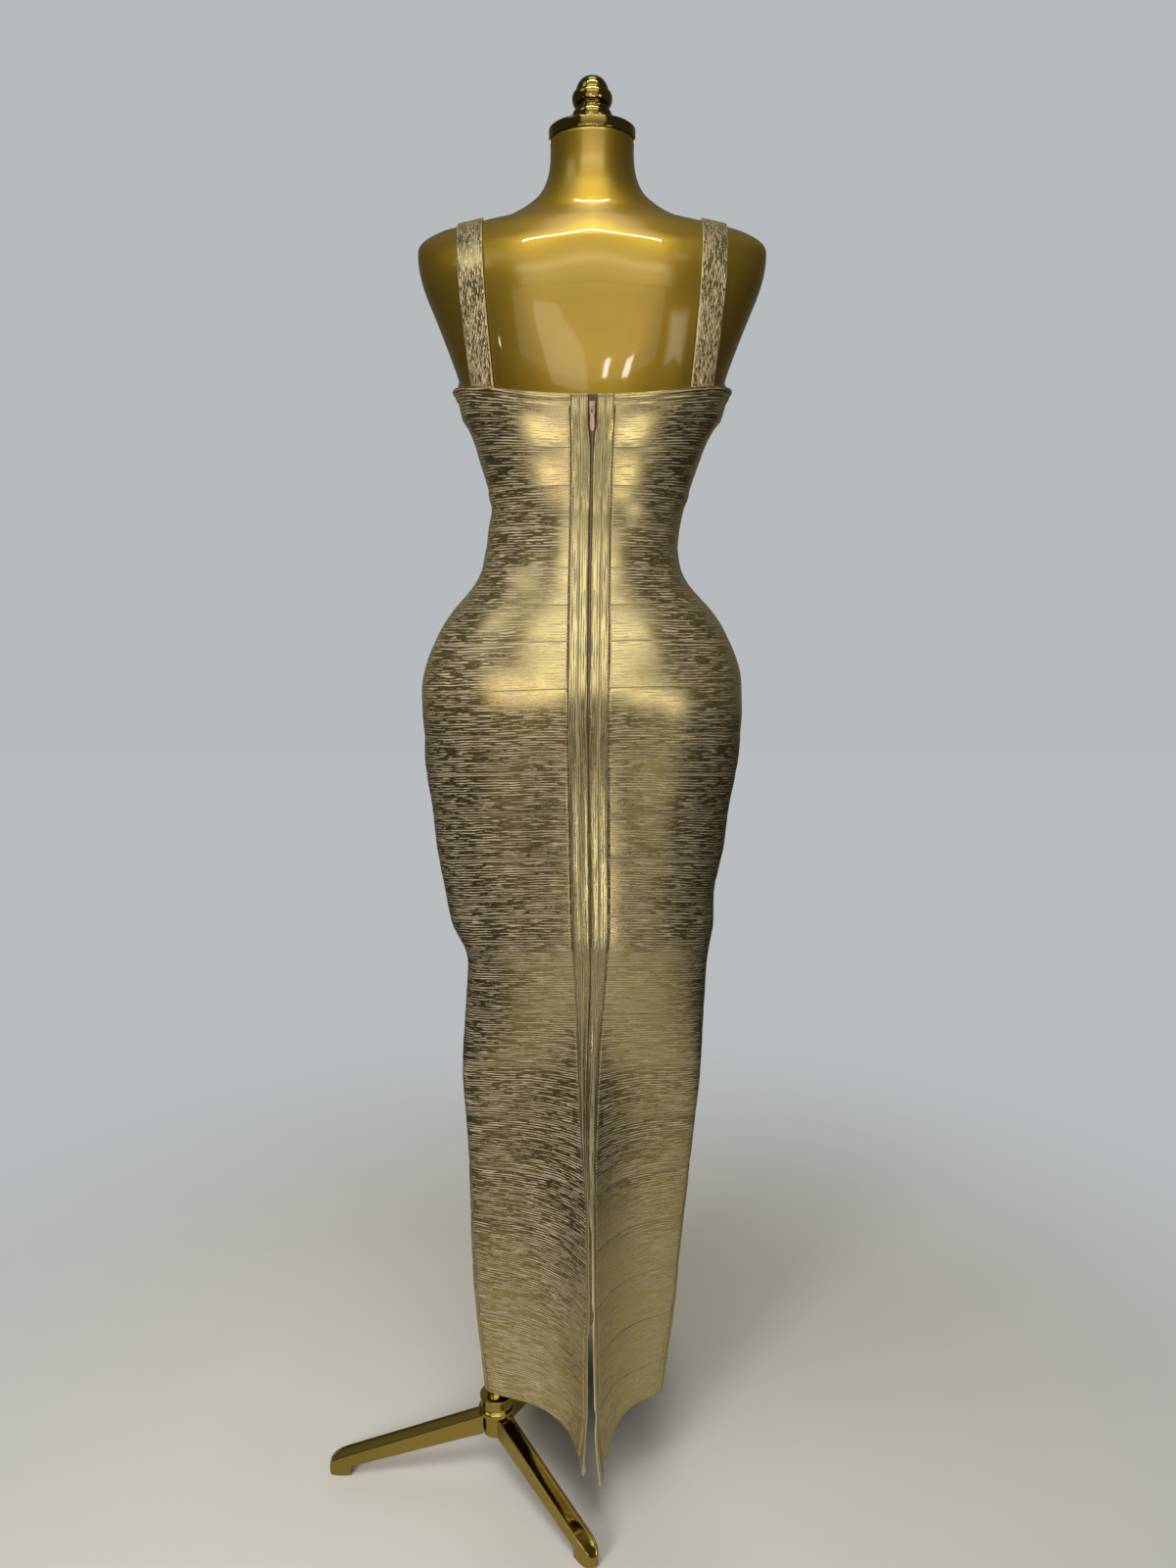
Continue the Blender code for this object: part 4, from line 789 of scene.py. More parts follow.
def make_teeth(settings, material):
    """Coil of the closed zip, up to its slider."""
    heights = np.arange(COIL_BOTTOM, COIL_TOP, COIL_STEP)
    line = zip_front(heights, 0.0, COIL_GAP) + np.array(AXIS)
    tree = repeat_tree("zip_coil", settings.tooth_pitch, COIL_BEAD, material)
    return [repeat_along("zip_coil", [line], tree, material)]


def once_round(steps):
    """Even angles of one whole turn."""
    return [2 * math.pi * step / steps for step in range(steps)]


def tube(mesh, path, radius, sides=10):
    """Add a closed tube along a path to a mesh."""
    rings = []
    path = [Vector(point) for point in path]
    for index, point in enumerate(path):
        along = (path[min(index + 1, len(path) - 1)] - path[max(index - 1, 0)]).normalized()
        first = first - along * first.dot(along) if rings else along.orthogonal()
        first.normalize()
        second = along.cross(first)
        rings.append([mesh.verts.new(
            point + (first * math.cos(angle) + second * math.sin(angle)) * radius)
            for angle in once_round(sides)])
    for low, high in zip(rings, rings[1:]):
        bridge(mesh, low, high)
    mesh.faces.new(list(reversed(rings[0])))
    mesh.faces.new(rings[-1])


SLIDER_HALF = 0.006
SLIDER_SIZE, SLIDER_CORNER, SLIDER_DEPTH = (0.0068, 0.0024, 2 * SLIDER_HALF), 0.0009, 0.0025
BRIDGE_STEPS, BRIDGE_HALF, BRIDGE_RISE, BRIDGE_FALL, BRIDGE_WIRE = 14, 0.0038, 0.0018, 0.0021, 0.0006
RIVET_BAR = ((0.0019, -0.0012, -0.0034), (0.0, -0.0009, -0.0042), (-0.0019, -0.0012, -0.0034))
RIVET_WIRE = 0.00035


def slider_slant():
    """Angle by which the zip leans where its slider is."""
    low, high = zip_front(np.array((PIVOT.z - SLIDER_HALF, PIVOT.z + SLIDER_HALF)), 0.0, 0.0)
    return math.atan2(high[1] - low[1], high[2] - low[2])


def make_slider(material):
    """Slider body with a waist and a bent bridge for the pull."""
    mesh = bmesh.new()
    bmesh.ops.create_cube(mesh, size=1.0)
    bmesh.ops.scale(mesh, vec=SLIDER_SIZE, verts=mesh.verts)
    bmesh.ops.bevel(mesh, geom=mesh.edges[:], offset=SLIDER_CORNER, segments=3, affect="EDGES",
                    profile=0.5)
    bmesh.ops.translate(mesh, vec=(0.0, -SLIDER_DEPTH, 0.0), verts=mesh.verts)
    bmesh.ops.subdivide_edges(mesh, edges=mesh.edges[:], cuts=2, use_grid_fill=True)
    for vert in mesh.verts:
        share = abs(vert.co.z) / SLIDER_HALF
        vert.co.x *= 0.80 + 0.20 * share ** 2 if vert.co.z < 0 else 0.80 + 0.22 * share
    path = []
    for step in range(BRIDGE_STEPS + 1):
        share = step / BRIDGE_STEPS * 2 - 1
        rise = BRIDGE_RISE * (1 - abs(share) ** 4) - BRIDGE_FALL * abs(share) ** 6
        path.append((0.0, rise, BRIDGE_HALF * share * (1 - 0.05 * share * share)))
    tube(mesh, path, BRIDGE_WIRE, 12)
    tube(mesh, RIVET_BAR, RIVET_WIRE, 8)
    bmesh.ops.rotate(mesh, cent=(0, 0, 0), matrix=Matrix.Rotation(-slider_slant(), 3, "X"),
                     verts=mesh.verts)
    bmesh.ops.translate(mesh, vec=PIVOT, verts=mesh.verts)
    return [stand_in(bmesh_object("zip_slider_body", mesh, material, 40), "zip_slider")]


PULL_LENGTH, PULL_BELOW, PULL_HALF, PULL_WAIST, PULL_ROUND = 0.0246, 0.0240, 0.0027, 0.0006, 0.25
PULL_HALF_DEPTH = 0.0006
WINDOW_TOP, WINDOW_BOTTOM, WINDOW_HALF = -0.0006, -0.0056, 0.0013
# share of the way from the outline to the window, share of the half thickness
PULL_SECTION = ((0.0, 0.55), (0.22, 1.0), (0.78, 1.0), (1.0, 0.55))


def pull_outlines(steps=48):
    """The drop's outline and its window's, once round, as x and z from the pivot."""
    outline, window = [], []
    middle, half = (WINDOW_TOP + WINDOW_BOTTOM) / 2, (WINDOW_TOP - WINDOW_BOTTOM) / 2
    for angle in once_round(steps):
        side, down = math.sin(angle), -math.cos(angle)
        place = (1 + down) / 2
        if place < PULL_ROUND:
            reach = PULL_HALF * abs(side) ** 0.8
        else:
            waist = PULL_WAIST * math.sin(math.pi * min((place - PULL_ROUND) / 0.6, 1.0))
            reach = (PULL_HALF - waist) * min(1.0, abs(side) * 2.4) ** 0.5
        outline.append((math.copysign(reach, side), PULL_LENGTH * place - PULL_BELOW))
        reach = WINDOW_HALF * min(1.0, abs(side) * 1.6) ** 0.6
        window.append((math.copysign(reach, side), middle + half * signed_power(down, 0.7)))
    return outline, window


def make_pull(material):
    """Drop-shaped pull with a window, from one ring of a rounded section."""
    mesh = bmesh.new()
    pairs = list(zip(*pull_outlines()))
    faces = []
    for sign in (1, -1):
        faces.append([[mesh.verts.new((ox + (wx - ox) * share, lift * PULL_HALF_DEPTH * sign,
                                       oz + (wz - oz) * share)) for (ox, oz), (wx, wz) in pairs]
                      for share, lift in PULL_SECTION])
    front, back = faces
    for low, high in (*zip(front, front[1:]), *zip(back, back[1:]), (front[0], back[0]),
                      (front[-1], back[-1])):
        bridge(mesh, low, high)
    bmesh.ops.translate(mesh, vec=PIVOT, verts=mesh.verts)
    bmesh.ops.remove_doubles(mesh, verts=mesh.verts, dist=0.000005)
    return [stand_in(bmesh_object("zip_pull_drop", mesh, material, 50), "zip_pull")]


# ---- stitching and loose threads ----
def cloth_line(heights, x=None, turns=None, lift=0.0):
    """World points on the cloth's outer face, at an x or at turns."""
    if turns is None:
        turns = slit_turn(heights, x)
    across = body_points(heights, turns + 2 * NEAR) - body_points(heights, turns - 2 * NEAR)
    upward = body_points(heights + NEAR, turns) - body_points(heights - NEAR, turns)
    normal = unit(np.cross(upward, across))
    out = cloth_ease(heights, turns) + bpy.context.scene.dress_settings.wall + lift
    return body_points(heights, turns) + normal * out[:, None] + np.array(AXIS)


# length, width and thickness of one bead or stitch
COIL_BEAD = (0.0009, 0.0022, 0.0008)
PLACKET_STITCH = (0.0024, 0.0007, 0.0005)
SEAM_STITCH = (0.0032, 0.0013, 0.0005)
PLACKET_STITCH_INSET = 0.0016
SEAM_STITCH_TURN, SEAM_TWIST, SEAM_TWIST_FROM, SEAM_TWIST_TO = 0.012, {1: 0.0, -1: 0.25}, 0.31, 0.10


def make_stitches(settings, material):
    """Stitches beside the plackets' outer edges and down both side seams."""
    tree = repeat_tree("stitches", settings.stitch_pitch, PLACKET_STITCH, material)
    wide = repeat_tree("seam_stitches", settings.stitch_pitch, SEAM_STITCH, material)
    placket_lines, seam_lines = [], []
    for side in FACING.values():
        heights = np.arange(0.45, 1.333, 0.01)
        x = side * (placket_value(heights, OUTER) - PLACKET_STITCH_INSET)
        placket_lines.append(cloth_line(heights, x=x, lift=0.0002))
        heights = np.arange(0.112, 1.330, 0.01)
        twist = SEAM_TWIST[side] * (1 - ramp(heights, SEAM_TWIST_TO, SEAM_TWIST_FROM))
        turns = side * (side_seam_turn(heights) - (twist + SEAM_STITCH_TURN))
        seam_lines.append(cloth_line(heights, turns=turns, lift=0.0001))
    return [repeat_along("placket_stitches", placket_lines, tree, material),
            repeat_along("side_seam_stitches", seam_lines, wide, material)]


def thread(mesh, start, way, reach, radius, rng, steps=7, droop=0.35):
    """Add one limp thread that leaves start along way and droops."""
    path, point, heading = [], Vector(start), Vector(way).normalized()
    for _ in range(steps):
        path.append(point.copy())
        heading = (heading + Vector((rng.uniform(-1, 1), rng.uniform(-1, 1), rng.uniform(-1, 1)))
                   * 0.25 + Vector((0, 0, -droop))).normalized()
        point = point + heading * reach / steps
    tube(mesh, path, radius, 5)


# threads crowded round the tip of a slit's point, and threads spread up each edge
TIP_THREADS, TIP_SPREAD, TIP_REACH = 60, 0.012, 0.03
EDGE_THREADS, FRAYED_UP_TO = {1: 18, -1: 50}, 0.34
LOOSE_END_HEIGHT = 1.003


def make_frays(material):
    """Frayed yarn ends down the slit's raw edges, and one long loose end under the zip."""
    rng = random.Random(11)
    mesh = bmesh.new()
    for side in FACING.values():
        tip = HEM_HEIGHT - HEM_DROP[side]
        heights = [tip + abs(rng.gauss(0, TIP_SPREAD)) for _ in range(TIP_THREADS)]
        heights += [rng.uniform(tip, FRAYED_UP_TO) for _ in range(EDGE_THREADS[side])]
        for height in heights:
            here = np.array([height])
            x = side * (placket_value(here, INNER) + rng.uniform(0.0, 0.002))
            point = cloth_line(here, x=x, lift=-0.0009)[0]
            way = (-side * rng.uniform(0.2, 1.0), rng.uniform(-0.1, 0.9), rng.uniform(-1.2, 0.1))
            shortest, longest = (0.002, 0.005) if height > tip + TIP_REACH else (0.003, 0.009)
            reach = rng.uniform(shortest, longest)
            thread(mesh, point, way, reach, rng.uniform(0.00014, 0.00024), rng)
    point = cloth_line(np.array([LOOSE_END_HEIGHT]), x=np.array([0.001]), lift=0.0004)[0]
    path = [point + np.array((-0.0005 * k - 0.004 * math.sin(k / 3), 0.0012 * math.sin(k / 2.5),
                              -0.0013 * k)) for k in range(10)]
    tube(mesh, path, 0.0002, 6)
    return [bmesh_object("loose_threads", mesh, material, 80)]


# ---- form and stand ----
SHARP = True


def make_form(material):
    """Hollow torso, open at the neck and underneath."""
    points = form_surface()
    piece = grid_object("form_torso", points, row_arc(points), points[..., 2], material, FORM_WALL,
                        closed=True)
    return [stand_in(piece, "form_shell")]


def smooth_profile(profile, rounds):
    """Corner-cut profile of (radius, height) points; those marked SHARP and both ends stay."""
    for _ in range(rounds):
        result = [profile[0]]
        for before, here, after in zip(profile, profile[1:], profile[2:]):
            if SHARP in here[2:]:
                result.append(here)
            else:
                result += [(here[0] * 0.75 + other[0] * 0.25, here[1] * 0.75 + other[1] * 0.25)
                           for other in (before, after)]
        profile = [*result, profile[-1]]
    return profile


def lathe(name, node, profile, centre, material, rounds=2, segments=96):
    """Turned piece for a CAD node, from a profile of (radius, height) points, some marked SHARP."""
    mesh = bmesh.new()
    previous = None
    for radius, height, *_ in smooth_profile(profile, rounds):
        if radius < 1e-6:
            ring = [mesh.verts.new((0, 0, height))]
        else:
            ring = [mesh.verts.new((radius * math.cos(angle), radius * math.sin(angle), height))
                    for angle in once_round(segments)]
        for k in range(segments if previous else 0):
            after = (k + 1) % segments
            corners = (previous[k % len(previous)], previous[after % len(previous)],
                       ring[after % len(ring)], ring[k % len(ring)])
            corners = list(dict.fromkeys(corners))
            if len(corners) > 2:
                mesh.faces.new(corners)
        previous = ring
    bmesh.ops.remove_doubles(mesh, verts=mesh.verts, dist=0.000002)
    bmesh.ops.translate(mesh, vec=centre, verts=mesh.verts)
    return stand_in(bmesh_object(name, mesh, material, 38), node)


CAP_LIP = 0.006
CAP_PROFILE = (
    (0.0, 0.0140, SHARP), (0.0300, 0.0138), (0.0425, 0.0133), (0.0440, 0.0129, SHARP),
    (0.0463, 0.0112, SHARP), (0.0466, 0.0105), (0.0466, 0.0012), (0.0458, 0.0, SHARP),
    (0.0398, 0.0, SHARP), (0.0398, -CAP_LIP, SHARP), (0.0, -CAP_LIP, SHARP))
FINIAL_PROFILE = (
    (0.0, 0.0502, SHARP), (0.0060, 0.0500), (0.0120, 0.0470), (0.0160, 0.0415), (0.0174, 0.0368),
    (0.0176, 0.0352, SHARP), (0.0200, 0.0340), (0.0214, 0.0305), (0.0216, 0.0272),
    (0.0209, 0.0232), (0.0190, 0.0196), (0.0183, 0.0188, SHARP), (0.0181, 0.0168, SHARP),
    (0.0202, 0.0150), (0.0214, 0.0118), (0.0214, 0.0080), (0.0203, 0.0046),
    (0.0185, 0.0030, SHARP), (0.0178, 0.0022, SHARP), (0.0178, 0.0, SHARP), (0.0, 0.0, SHARP))
POLE_RADIUS, POLE_BORE, POLE_CHAMFER = 0.0110, 0.0090, 0.0006
HUB_BORE, HUB_LOW, HUB_LIP_LOW, HUB_SKIRT, COLLAR_GAP = 0.0114, 0.0440, 0.0728, 0.0182, 0.0003


def make_cap(material):
    """Neck cap with a plug below it, and the finial on top."""
    cap_seat = AXIS + Vector((0, 0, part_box("neck_cap")[0].z + CAP_LIP))
    finial_seat = AXIS + Vector((0, 0, FINIAL_BOTTOM))
    return [lathe("neck_cap_disc", "neck_cap", CAP_PROFILE, cap_seat, material),
            lathe("neck_finial", "finial", FINIAL_PROFILE, finial_seat, material)]


def make_pole_and_hub(material):
    """Tube, cast hub and the ring on top of it, each turned round its own bore."""
    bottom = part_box("pole")[0].z
    pole = [(POLE_BORE, bottom), (POLE_BORE, POLE_TOP), (POLE_RADIUS - POLE_CHAMFER, POLE_TOP),
            (POLE_RADIUS, POLE_TOP - POLE_CHAMFER), (POLE_RADIUS, bottom), (POLE_BORE, bottom)]
    hub = [(HUB_BORE, HUB_LOW, SHARP), (HUB_BORE, HUB_TOP, SHARP), (0.0188, HUB_TOP, SHARP),
           (0.0200, HUB_TOP - 0.0012, SHARP), (0.0200, 0.0835, SHARP), (0.0202, 0.0815),
           (0.0232, 0.0790), (0.0236, 0.0768, SHARP), (0.0236, 0.0738, SHARP),
           (0.0228, HUB_LIP_LOW, SHARP), (HUB_SKIRT, HUB_LIP_LOW, SHARP),
           (HUB_SKIRT, HUB_LOW, SHARP), (HUB_BORE, HUB_LOW, SHARP)]
    low, high = HUB_TOP + COLLAR_GAP, COLLAR_TOP
    collar = [(HUB_BORE, low, SHARP), (HUB_BORE, high, SHARP), (0.0206, high, SHARP),
              (0.0215, high - 0.0004), (0.0216, (low + high) / 2), (0.0215, low + 0.0004),
              (0.0206, low, SHARP), (HUB_BORE, low, SHARP)]
    return [lathe("stand_pole", "pole", pole, POLE, material, rounds=0, segments=64),
            lathe("stand_hub", "hub", hub, POLE, material),
            lathe("stand_collar", "hub_collar", collar, POLE, material)]


# along, top, underside, half width
LEG_STATIONS = (
    (0.0185, 0.0722, 0.0462, 0.0108), (0.0300, 0.0693, 0.0440, 0.0108),
    (0.0700, 0.0592, 0.0361, 0.0108), (0.1100, 0.0491, 0.0281, 0.0108),
    (0.1500, 0.0390, 0.0202, 0.0108), (0.1800, 0.0315, 0.0143, 0.0108),
    (0.1888, 0.0293, 0.0126, 0.0108), (0.1892, 0.0292, 0.0000, 0.0108),
    (0.1980, 0.0268, 0.0000, 0.0107), (0.2040, 0.0248, 0.0000, 0.0101),
    (0.2090, 0.0225, 0.0000, 0.0091), (0.2130, 0.0195, 0.0000, 0.0077),
    (0.2155, 0.0160, 0.0004, 0.0060), (0.2168, 0.0120, 0.0016, 0.0042),
    (0.2172, 0.0085, 0.0040, 0.0022),
)
LEG_NAMES = {"leg_left": 6.0, "leg_back": 126.0, "leg_front": 246.0}


def dense_stations(stations, pieces):
    """Stations with each stretch between two of them split into even pieces."""
    result = [tuple(a + (b - a) * (step / pieces) for a, b in zip(low, high))
              for low, high in zip(stations, stations[1:]) for step in range(pieces)]
    return result + [stations[-1]]


def leg_section(top, under, half, rib):
    """One side of a leg's section, from its middle to its underside: a dish, a bead, a side."""
    bead = min(rib, (top - under) * 0.12)
    return [(0.0, top - bead), (half * 0.55, top - bead * 0.95),
            (half - 2.4 * bead, top - bead * 0.7), (half - 1.7 * bead, top - 0.1 * bead),
            (half - 0.9 * bead, top), (half - 0.2 * bead, top - 0.35 * bead),
            (half, top - 1.1 * bead), (half - 0.15 * bead, top - 2.0 * bead),
            (half - 0.3 * bead, (top + under) / 2), (half, under + 0.5 * bead),
            (half - 0.5 * bead, under)]


def make_legs(settings, material):
    """Cast legs: a dished top between two beads, upright sides and a foot pad."""
    made = []
    for node, angle in LEG_NAMES.items():
        mesh = bmesh.new()
        rings = []
        for along, top, under, half in dense_stations(LEG_STATIONS, 3):
            side = leg_section(top, under, half, settings.rib)
            loop = side + [(-y, z) for y, z in reversed(side[1:])]
            rings.append([mesh.verts.new((along, y, z)) for y, z in loop])
        for low, high in zip(rings, rings[1:]):
            bridge(mesh, low, high)
        mesh.faces.new(rings[0])
        mesh.faces.new(rings[-1])
        turn = Matrix.Translation(POLE) @ Matrix.Rotation(math.radians(angle), 4, "Z")
        bmesh.ops.transform(mesh, matrix=turn, verts=mesh.verts)
        made.append(stand_in(bmesh_object("stand_" + node, mesh, material, 35), node))
    return made


# ---- materials ----
class Graph:
    """Small helper that adds nodes to a tree; each input takes a value or another node's output."""

    def __init__(self, tree):
        self.tree = tree
        self.column = 0

    def feed(self, socket, value):
        if isinstance(value, bpy.types.NodeSocket):
            self.tree.links.new(value, socket)
        else:
            socket.default_value = value

    def add(self, kind, inputs=None, **settings):
        node = self.tree.nodes.new(kind)
        node.location = (self.column * 180, 0)
        self.column += 1
        for key, value in settings.items():
            setattr(node, key, value)
        for key, value in (inputs or {}).items():
            self.feed(node.inputs[key], value)
        return node

    def math(self, operation, *values, clamp=False):
        return self.add("ShaderNodeMath", dict(enumerate(values)), operation=operation,
                        use_clamp=clamp).outputs[0]

    def ramp(self, value, low, high, to_low=0.0, to_high=1.0):
        return self.add("ShaderNodeMapRange", {
            "Value": value, "From Min": low, "From Max": high, "To Min": to_low, "To Max": to_high},
            interpolation_type="SMOOTHSTEP").outputs[0]

    def mix(self, share, first, second, blend="MIX"):
        first, second = (tone if isinstance(tone, bpy.types.NodeSocket) else (*tone[:3], 1.0)
                         for tone in (first, second))
        return self.add("ShaderNodeMix", {0: share, 6: first, 7: second}, data_type="RGBA",
                        blend_type=blend).outputs[2]

    def noise(self, vector, scale, detail=2.0, roughness=0.5, name="Fac"):
        return self.add("ShaderNodeTexNoise", {"Vector": vector, "Scale": scale, "Detail": detail,
                                               "Roughness": roughness}).outputs[name]

    def vector(self, *values):
        return self.add("ShaderNodeCombineXYZ", dict(enumerate(values))).outputs[0]

    def vectors(self, operation, *values, name="Vector"):
        return self.add("ShaderNodeVectorMath", dict(enumerate(values)),
                        operation=operation).outputs[name]

    def distance(self, spot, centre):
        return self.vectors("DISTANCE", spot, centre, name="Value")

    def spot(self):
        return self.add("ShaderNodeTexCoord").outputs["Object"]

    def sheet_spot(self):
        return self.add("ShaderNodeUVMap", uv_map="UVMap").outputs["UV"]

    def mask(self, attribute):
        return self.add("ShaderNodeAttribute", attribute_name=attribute).outputs["Fac"]

    def bump(self, height, strength, distance):
        return self.add("ShaderNodeBump", {"Height": height, "Strength": strength,
                                           "Distance": distance}).outputs["Normal"]


def new_group(name, inputs, outputs):
    """Shader node group with named float or vector inputs and named float outputs."""
    tree = bpy.data.node_groups.new(name, "ShaderNodeTree")
    for label, default in inputs.items():
        kind = "NodeSocketVector" if default is None else "NodeSocketFloat"
        socket = tree.interface.new_socket(label, in_out="INPUT", socket_type=kind)
        if default is not None:
            socket.default_value = default
    for label in outputs:
        tree.interface.new_socket(label, in_out="OUTPUT", socket_type="NodeSocketFloat")
    graph = Graph(tree)
    return graph, graph.add("NodeGroupInput").outputs, graph.add("NodeGroupOutput").inputs


@functools.lru_cache(maxsize=None)
def streak_group():
    """Foil streaks: broken wavy lines along one direction, as a mask and a height."""
    graph, given, put = new_group("foil_streaks", {
        "Along": 0.0, "Across": 0.0, "Length": 0.022, "Pitch": 0.0026, "Cover": 0.5, "Seed": 0.0,
        "Wave": 0.0022}, ("Mask", "Height", "Tint"))
    along, across, seed = given["Along"], given["Across"], given["Seed"]
    place = graph.vector(graph.math("MULTIPLY", along, 28.0), graph.math("MULTIPLY", across, 70.0),
                         seed)
    wave = graph.math("SUBTRACT", graph.noise(place, 1.0, 2.0), 0.5)
    bent = graph.math("ADD", across, graph.math("MULTIPLY", wave, given["Wave"]))
    masks = []
    for length_share, pitch_share, shift in ((1.0, 1.0, 0.0), (0.42, 0.6, 31.0)):
        length_here = graph.math("MULTIPLY", given["Length"], length_share)
        pitch_here = graph.math("MULTIPLY", given["Pitch"], pitch_share)
        seat = graph.vector(graph.math("DIVIDE", along, length_here),
                            graph.math("DIVIDE", bent, pitch_here), graph.math("ADD", seed, shift))
        masks.append(graph.noise(seat, 1.0, 1.5, 0.45))
    turn = graph.math("DIVIDE", graph.math("MULTIPLY", bent, math.pi), given["Pitch"])
    course = graph.math("MULTIPLY", graph.math("SINE", turn), 0.09)
    both = graph.math("ADD", graph.math("MULTIPLY", masks[0], 0.6),
                      graph.math("MULTIPLY", masks[1], 0.4))
    level = graph.math("SUBTRACT", 1.0, given["Cover"])
    sharp = graph.ramp(graph.math("ADD", both, course), graph.math("SUBTRACT", level, 0.014),
                       graph.math("ADD", level, 0.014))
    fine = graph.vector(graph.math("MULTIPLY", along, 160.0), graph.math("MULTIPLY", bent, 1500.0),
                        seed)
    rib = graph.noise(fine, 1.0, 1.0)
    height = graph.math("ADD", graph.math("MULTIPLY", sharp, 0.45), graph.math("MULTIPLY", rib, 0.55))
    for label, value in (("Mask", sharp), ("Height", height), ("Tint", masks[1])):
        graph.feed(put[label], value)
    return graph.tree


@functools.lru_cache(maxsize=None)
def speck_group():
    """Smudges, fine grain and specks of dust on polished metal and lacquer."""
    graph, given, put = new_group("handled_gloss", {"Vector": None, "Smudge": 0.06, "Grain": 0.02},
                                  ("Roughness", "Specks"))
    broad = graph.noise(given["Vector"], 22.0, 3.0, 0.6)
    fine = graph.noise(given["Vector"], 900.0, 2.0)
    smudge = graph.math("MULTIPLY", graph.ramp(broad, 0.42, 0.72), given["Smudge"])
    dots = graph.add("ShaderNodeTexVoronoi", {"Vector": given["Vector"], "Scale": 34.0},
                     feature="F1").outputs["Distance"]
    graph.feed(put["Roughness"],
               graph.math("ADD", smudge, graph.math("MULTIPLY", fine, given["Grain"])))
    graph.feed(put["Specks"], graph.ramp(dots, 0.028, 0.012))
    return graph.tree


def new_material(name):
    """Material, the graph of its tree and its main shader."""
    material = bpy.data.materials.new(name)
    material.use_nodes = True
    return material, Graph(material.node_tree), material.node_tree.nodes["Principled BSDF"]


def plug(graph, shader, **sockets):
    """Set or link a shader's sockets by name; underscores stand for spaces."""
    for key, value in sockets.items():
        graph.feed(shader.inputs[key.replace("_", " ")], value)


def shaded(tone, factor):
    return tuple(min(part * factor, 1.0) for part in tone)


def tinted(tone, factors):
    return tuple(min(part * factor, 1.0) for part, factor in zip(tone, factors))


# LEFT_HIP: centre of the painted iridescent glints on the foil; WARM_TINT and PALE_TINT: random tints of
# the foil
LEFT_HIP = Vector((0.085, 0.10, 1.035))
WARM_TINT, PALE_TINT = (1.06, 0.93, 0.72), (1.04, 1.10, 1.25)
# the first is a painted shade: the dark that the yarn is mixed towards where the cloth is seen slanting
# away; the second is the paler yarn of raw edges
SLANT_SHADE_YARN, RAW_YARN = (0.15, 0.12, 0.05), (0.62, 0.52, 0.42)
# share of foil, streak length, pitch, seed, how much the yarn is darkened (0.5 on the plackets is
# painted shade in the grooves between their ribs), how far streaks wander
FOIL_KNITS = {
    "foil_knit_strips": (0.57, 0.026, 0.00150, 3.0, 1.0, 0.0022),
    "foil_knit_grain": (0.56, 0.045, 0.00125, 17.0, 0.5, 0.0022),
    "foil_knit_straps": (0.58, 0.0090, 0.0010, 29.0, 1.0, 0.0003),
}


def foil_material(name):
    """Knit printed with broken streaks of gold foil; streaks run along the UV map's u."""
    if name in bpy.data.materials:
        return bpy.data.materials[name]
    cover, streak, pitch, seed, shade, wave = FOIL_KNITS[name]
    settings = bpy.context.scene.dress_settings
    material, graph, shader = new_material(name)
    place = graph.sheet_spot()
    along, across, _ = graph.add("ShaderNodeSeparateXYZ", {"Vector": place}).outputs
    patch = graph.math("SUBTRACT", graph.noise(place, 9.0, 2.0), 0.5)
    wanted = graph.math("ADD", cover, graph.math("MULTIPLY", patch, 0.08))
    mask, height, tint = graph.add("ShaderNodeGroup", {
        "Along": along, "Across": across, "Length": streak, "Pitch": pitch, "Cover": wanted,
        "Seed": seed, "Wave": wave}, node_tree=streak_group()).outputs
    seam = graph.ramp(graph.mask("seam"), 0.25, 0.70)
    raw = graph.mask("raw")
    dull = graph.math("MAXIMUM", graph.math("MULTIPLY", seam, 0.85), raw, clamp=True)
    bare = graph.math("MULTIPLY", mask, graph.math("SUBTRACT", 1.0, dull), clamp=True)
    gold = graph.mix(graph.ramp(tint, 0.30, 0.70), tinted(settings.foil, WARM_TINT),
                     tinted(settings.foil, PALE_TINT))
    # faint rainbow tint over all the foil, and strongest near the left hip, where it is a painted
    # iridescent glint
    spark = graph.noise(place, 620.0, 1.0, name="Color")
    hue = graph.add("ShaderNodeHueSaturation", {"Hue": 0.5, "Saturation": 1.8, "Value": 1.0,
                                                "Color": spark}).outputs[0]
    glint_zone = graph.ramp(graph.distance(graph.spot(), AXIS + LEFT_HIP), 0.10, 0.03, 0.06, 0.75)
    gold = graph.mix(glint_zone, gold, graph.mix(0.75, gold, hue, "OVERLAY"))
    # shade below 1 darkens the yarn: on the plackets this is painted shade in the grooves between their
    # ribs
    yarn = graph.mix(graph.noise(place, 700.0, 2.0), shaded(settings.yarn, 0.75 * shade),
                     shaded(settings.yarn, 1.25 * shade))
    # painted shade: the yarn darkens where the cloth turns away from the eye, standing in for the shade
    # on its sides
    slant = graph.add("ShaderNodeLayerWeight", {"Blend": 0.5}).outputs["Facing"]
    yarn = graph.mix(graph.ramp(slant, 0.30, 0.80, 0.0, 0.75), yarn, SLANT_SHADE_YARN)
    yarn = graph.mix(graph.math("MULTIPLY", raw, 0.8, clamp=True), yarn, RAW_YARN)
    yarn = graph.mix(graph.math("MULTIPLY", seam, 0.88, clamp=True), yarn,
                     shaded(settings.yarn, 0.20))
    plug(graph, shader, Base_Color=graph.mix(bare, yarn, gold),
         Metallic=graph.math("MULTIPLY", bare, 0.97),
         Roughness=graph.math("SUBTRACT", 0.78, graph.math("MULTIPLY", bare, 0.52)),
         Normal=graph.bump(height, 0.3, 0.0003), Sheen_Weight=0.04)
    return material


